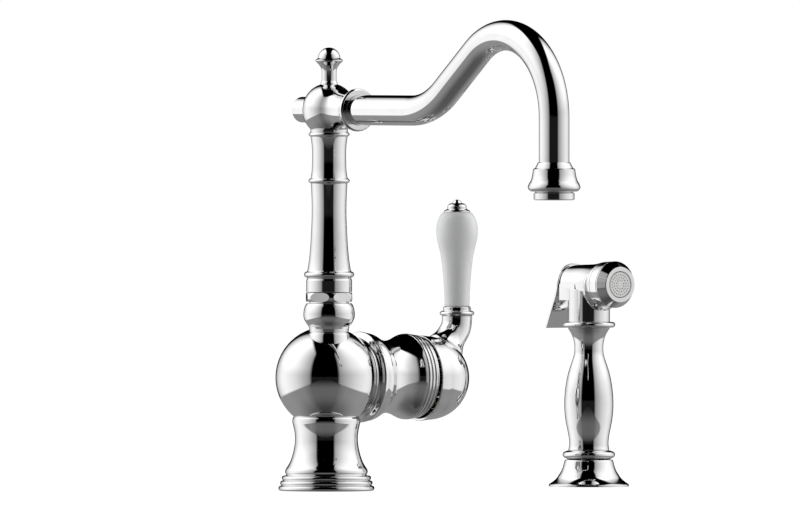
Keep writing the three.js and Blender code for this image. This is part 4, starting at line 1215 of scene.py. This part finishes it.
@dataclass
class Studio:
    """Camera, floor, lamps, and the surround of painted reflections that the chrome mirrors, in metres
    and degrees.
    """

    aim: tuple = (0.0377, -0.0272, 0.1483)
    azimuth: float = -35.53
    elevation: float = 0.71
    lens: float = 1000.0
    view_width: float = 0.5055
    sensor: float = 36.0
    surround_r: float = 14.0
    floor_half: float = 40.0
    gap_turn: float = -3.5
    fill: float = 0.26           # soft light from all round
    floor_drop_mm: float = 0.3   # below the object's foot, so that the two don't share a plane
    floor_glow: float = 1.3
    glow_share: float = 0.75     # the rest of what the camera sees of the floor takes the shadow
    lamp_size: float = 1.6
    lamp_power: float = 25.0     # watts
    lamp_place: tuple = (1.7, 0.45, 0.75)    # to the side, back and up from the aim
    # Brightness of the painted reflections round the horizon, by the share of a half turn away from the
    # camera: the open gap beside the camera, the two big soft panels, and the dimmer wall behind.
    around: tuple = ((0.0, 0.012), (0.165, 0.012), (0.2, 0.34), (0.28, 0.56), (0.39, 0.86),
                     (0.5, 1.06), (0.6, 1.18), (0.67, 1.1), (0.75, 0.85), (0.83, 0.5),
                     (0.87, 0.02), (1.0, 0.012))
    ramp_top: float = 1.25       # a ramp's greys end at 1, so its values are divided by this
    # The same for the painted reflection of the floor, which reflections see instead of the real floor.
    below: tuple = ((0.0, 0.14), (0.17, 0.15), (0.3, 0.26), (0.6, 0.33), (1.0, 0.3))

    def build(self) -> None:
        """Set up everything that isn't the object."""
        self.camera()
        self.world()
        self.floor()
        self.surround()
        self.lamps()
        bpy.context.scene.view_settings.view_transform = "Standard"

    def to_camera(self) -> Vector:
        """Give the unit vector from the object towards the camera."""
        a, e = math.radians(self.azimuth), math.radians(self.elevation)
        return Vector((math.sin(a) * math.cos(e), -math.cos(a) * math.cos(e), math.sin(e)))

    def camera(self) -> None:
        """Make the camera at the photograph's viewing angle."""
        data = bpy.data.cameras.new("camera")
        data.lens, data.sensor_width = self.lens, self.sensor
        distance = self.view_width * self.lens / self.sensor
        data.clip_start, data.clip_end = 0.05, 200.0
        camera = bpy.data.objects.new("camera", data)
        camera.location = Vector(self.aim) + self.to_camera() * distance
        camera.rotation_mode = "QUATERNION"
        camera.rotation_quaternion = (-self.to_camera()).to_track_quat("-Z", "Y")
        bpy.context.scene.collection.objects.link(camera)
        bpy.context.scene.camera = camera

    def world(self) -> None:
        """Make the white background and the soft light from all round."""
        world = bpy.data.worlds.new("studio_world")
        bpy.context.scene.world = world
        tree = empty_tree(world)
        path = add_node(tree, "ShaderNodeLightPath").outputs
        seen = path["Is Camera Ray"]
        for other in ("Is Glossy Ray", "Is Transmission Ray"):
            seen = add_node(tree, "ShaderNodeMath", {"operation": "MAXIMUM"}, {
                0: seen, 1: path[other]}).outputs[0]
        fill, white = (add_node(tree, "ShaderNodeBackground", inputs={
            "Color": (1, 1, 1, 1), "Strength": strength}).outputs[0] for strength in (self.fill, 1.0))
        mix = add_node(tree, "ShaderNodeMixShader", inputs={0: seen, 1: fill, 2: white})
        add_node(tree, "ShaderNodeOutputWorld", inputs={"Surface": mix.outputs[0]})

    def floor(self) -> None:
        """Lay the pale floor: white to the camera, with the object's faint shadow."""
        half = self.floor_half / MM
        corners = [(x * half, y * half, -self.floor_drop_mm)
                   for x, y in ((-1, -1), (1, -1), (1, 1), (-1, 1))]
        floor = new_object("studio_floor", corners, [(0, 1, 2, 3)])
        material = bpy.data.materials.new("paper_sweep")
        tree = empty_tree(material)
        path = add_node(tree, "ShaderNodeLightPath")
        glow = add_node(tree, "ShaderNodeEmission", inputs={
            "Color": (1, 1, 1, 1), "Strength": self.floor_glow})
        paper = add_node(tree, "ShaderNodeBsdfDiffuse", inputs={"Color": linear("#DEDEDD")})
        share = add_node(tree, "ShaderNodeMath", {"operation": "MULTIPLY"}, {
            0: path.outputs["Is Camera Ray"], 1: self.glow_share})
        mix = add_node(tree, "ShaderNodeMixShader", inputs={
            0: share.outputs[0], 1: paper.outputs[0], 2: glow.outputs[0]})
        add_node(tree, "ShaderNodeOutputMaterial", inputs={"Surface": mix.outputs[0]})
        floor.data.materials.append(material)
        # reflections see the floor painted on the surround instead of this one
        floor.visible_glossy = False

    def surround(self) -> None:
        """Hang the surround that only reflections see, a glow that lights nothing else: painted
        reflections of the soft boxes left and right of the camera, of the dark gap beside it, of the
        wall behind and of the floor.
        """
        ball = turned("studio_surround", arc(0, 0, self.surround_r / MM, -90, 90), sides=48)
        ball.visible_camera = ball.visible_diffuse = ball.visible_shadow = False
        ball.visible_transmission = ball.visible_volume_scatter = False
        # the glow is painted reflection: it is seen only in reflections
        material = bpy.data.materials.new("painted_reflections")
        tree = empty_tree(material)
        way = add_node(tree, "ShaderNodeVectorMath", {"operation": "NORMALIZE"}, {
            0: add_node(tree, "ShaderNodeTexCoord").outputs["Object"]}).outputs[0]
        up = add_node(tree, "ShaderNodeSeparateXYZ", inputs={0: way}).outputs["Z"]
        to_camera = Matrix.Rotation(math.radians(self.gap_turn), 3, "Z") @ self.to_camera()
        level = Vector((to_camera.x, to_camera.y, 0)).normalized()
        ahead, beside = (
            add_node(tree, "ShaderNodeVectorMath", {"operation": "DOT_PRODUCT"}, {
                0: way, 1: direction}).outputs["Value"]
            for direction in (level, Vector((-level.y, level.x, 0))))
        # share of a half turn away from the camera, to either side
        turn = beside
        for operation, value in (("ARCTAN2", ahead), ("ABSOLUTE", 0.0), ("DIVIDE", math.pi)):
            turn = add_node(tree, "ShaderNodeMath", {"operation": operation}, {
                0: turn, 1: value}).outputs[0]
        rise = add_node(tree, "ShaderNodeMath", {"operation": "ARCSINE"}, {0: up}).outputs[0]
        around, below = (
            add_node(tree, "ShaderNodeValToRGB", inputs={0: turn}, stops=stops).outputs[0]
            for stops in ([(p, g / self.ramp_top) for p, g in self.around], self.below))
        # height on the upright plane of the panels, in units of their distance from the object
        side = add_node(tree, "ShaderNodeMath", {"operation": "ABSOLUTE"}, {0: beside}).outputs[0]
        side = add_node(tree, "ShaderNodeMath", {"operation": "MAXIMUM"}, {
            0: side, 1: 1e-4}).outputs[0]
        height = add_node(tree, "ShaderNodeMath", {"operation": "DIVIDE"}, {
            0: up, 1: side}).outputs[0]
        # soft passages: the value followed, where it starts and ends, and the levels passed between
        lift, right_side, gap_top, top_edge, foot_edge, gap_floor, open_floor, near_floor = (
            add_node(tree, "ShaderNodeMapRange", {"interpolation_type": "SMOOTHSTEP"}, {
                "Value": value, "From Min": start, "From Max": end, "To Min": low,
                "To Max": high}).outputs[0]
            for value, start, end, low, high in (
                (rise, math.radians(2), math.radians(24), self.ramp_top, 1.65),
                (beside, 0.4, 0.95, 1.0, 0.88),
                (rise, math.radians(1), math.radians(5), 0.0, 0.02),
                (height, 2.2, 2.9, 1.0, 0.0),
                (height, -0.44, -0.37, 0.0, 1.0),
                (rise, math.radians(-26), 0, 1.0, 0.04),
                (turn, 0.15, 0.22, 0.0, 1.0),
                (rise, math.radians(-80), math.radians(-35), 0.35, 1.0)))
        panels, ground = around, below
        for operation, value in (("MULTIPLY", lift), ("MULTIPLY", right_side),
                                 ("MULTIPLY", top_edge), ("SUBTRACT", gap_top), ("MAXIMUM", 0.0)):
            panels = add_node(tree, "ShaderNodeMath", {"operation": operation}, {
                0: panels, 1: value}).outputs[0]
        # in the painted floor reflection: in the gap it comes up out of the dark, under the panels it
        # starts at once, and it is darker straight below
        onset = add_node(tree, "ShaderNodeMath", {"operation": "MAXIMUM"}, {
            0: gap_floor, 1: open_floor}).outputs[0]
        for value in (onset, near_floor):
            ground = add_node(tree, "ShaderNodeMath", {"operation": "MULTIPLY"}, {
                0: ground, 1: value}).outputs[0]
        light = add_node(tree, "ShaderNodeMix", {"data_type": "FLOAT"}, {
            0: foot_edge, 2: ground, 3: panels})
        glow = add_node(tree, "ShaderNodeEmission", inputs={
            "Color": (1, 1, 1, 1), "Strength": light.outputs[0]})
        add_node(tree, "ShaderNodeOutputMaterial", inputs={"Surface": glow.outputs[0]})
        material.cycles.emission_sampling = "NONE"
        ball.data.materials.append(material)

    def lamps(self) -> None:
        """Hang a large soft lamp on each side, a little behind the object."""
        aim, to_camera = Vector(self.aim), self.to_camera()
        right = Vector((-to_camera.y, to_camera.x, 0)).normalized()
        aside, back, above = self.lamp_place
        for name, side in (("lamp_right", aside), ("lamp_left", -aside)):
            data = bpy.data.lights.new(name, "AREA")
            data.shape, data.energy = "RECTANGLE", self.lamp_power
            data.size = data.size_y = self.lamp_size
            lamp = bpy.data.objects.new(name, data)
            lamp.location = aim + right * side - to_camera * back + Vector((0, 0, above))
            lamp.rotation_mode = "QUATERNION"
            lamp.rotation_quaternion = (aim - lamp.location).to_track_quat("-Z", "Y")
            # reflections see these lamps painted on the surround instead
            lamp.visible_glossy = False
            bpy.context.scene.collection.objects.link(lamp)


# ------------------------------------------------------------------------- build


def main() -> None:
    """Build the studio, then each sub-assembly in order."""
    logging.basicConfig(level=logging.INFO, format="%(name)s: %(message)s")
    Studio().build()
    paint = Paintbox()
    for assembly in (Body(paint), SpoutSeat(paint), Spout(paint), Lever(paint), HandSpray(paint)):
        assembly.build()
    for finish, names in KEPT_NODES.items():
        paint.dress_nodes(finish, names)


if __name__ == "__main__":
    main()
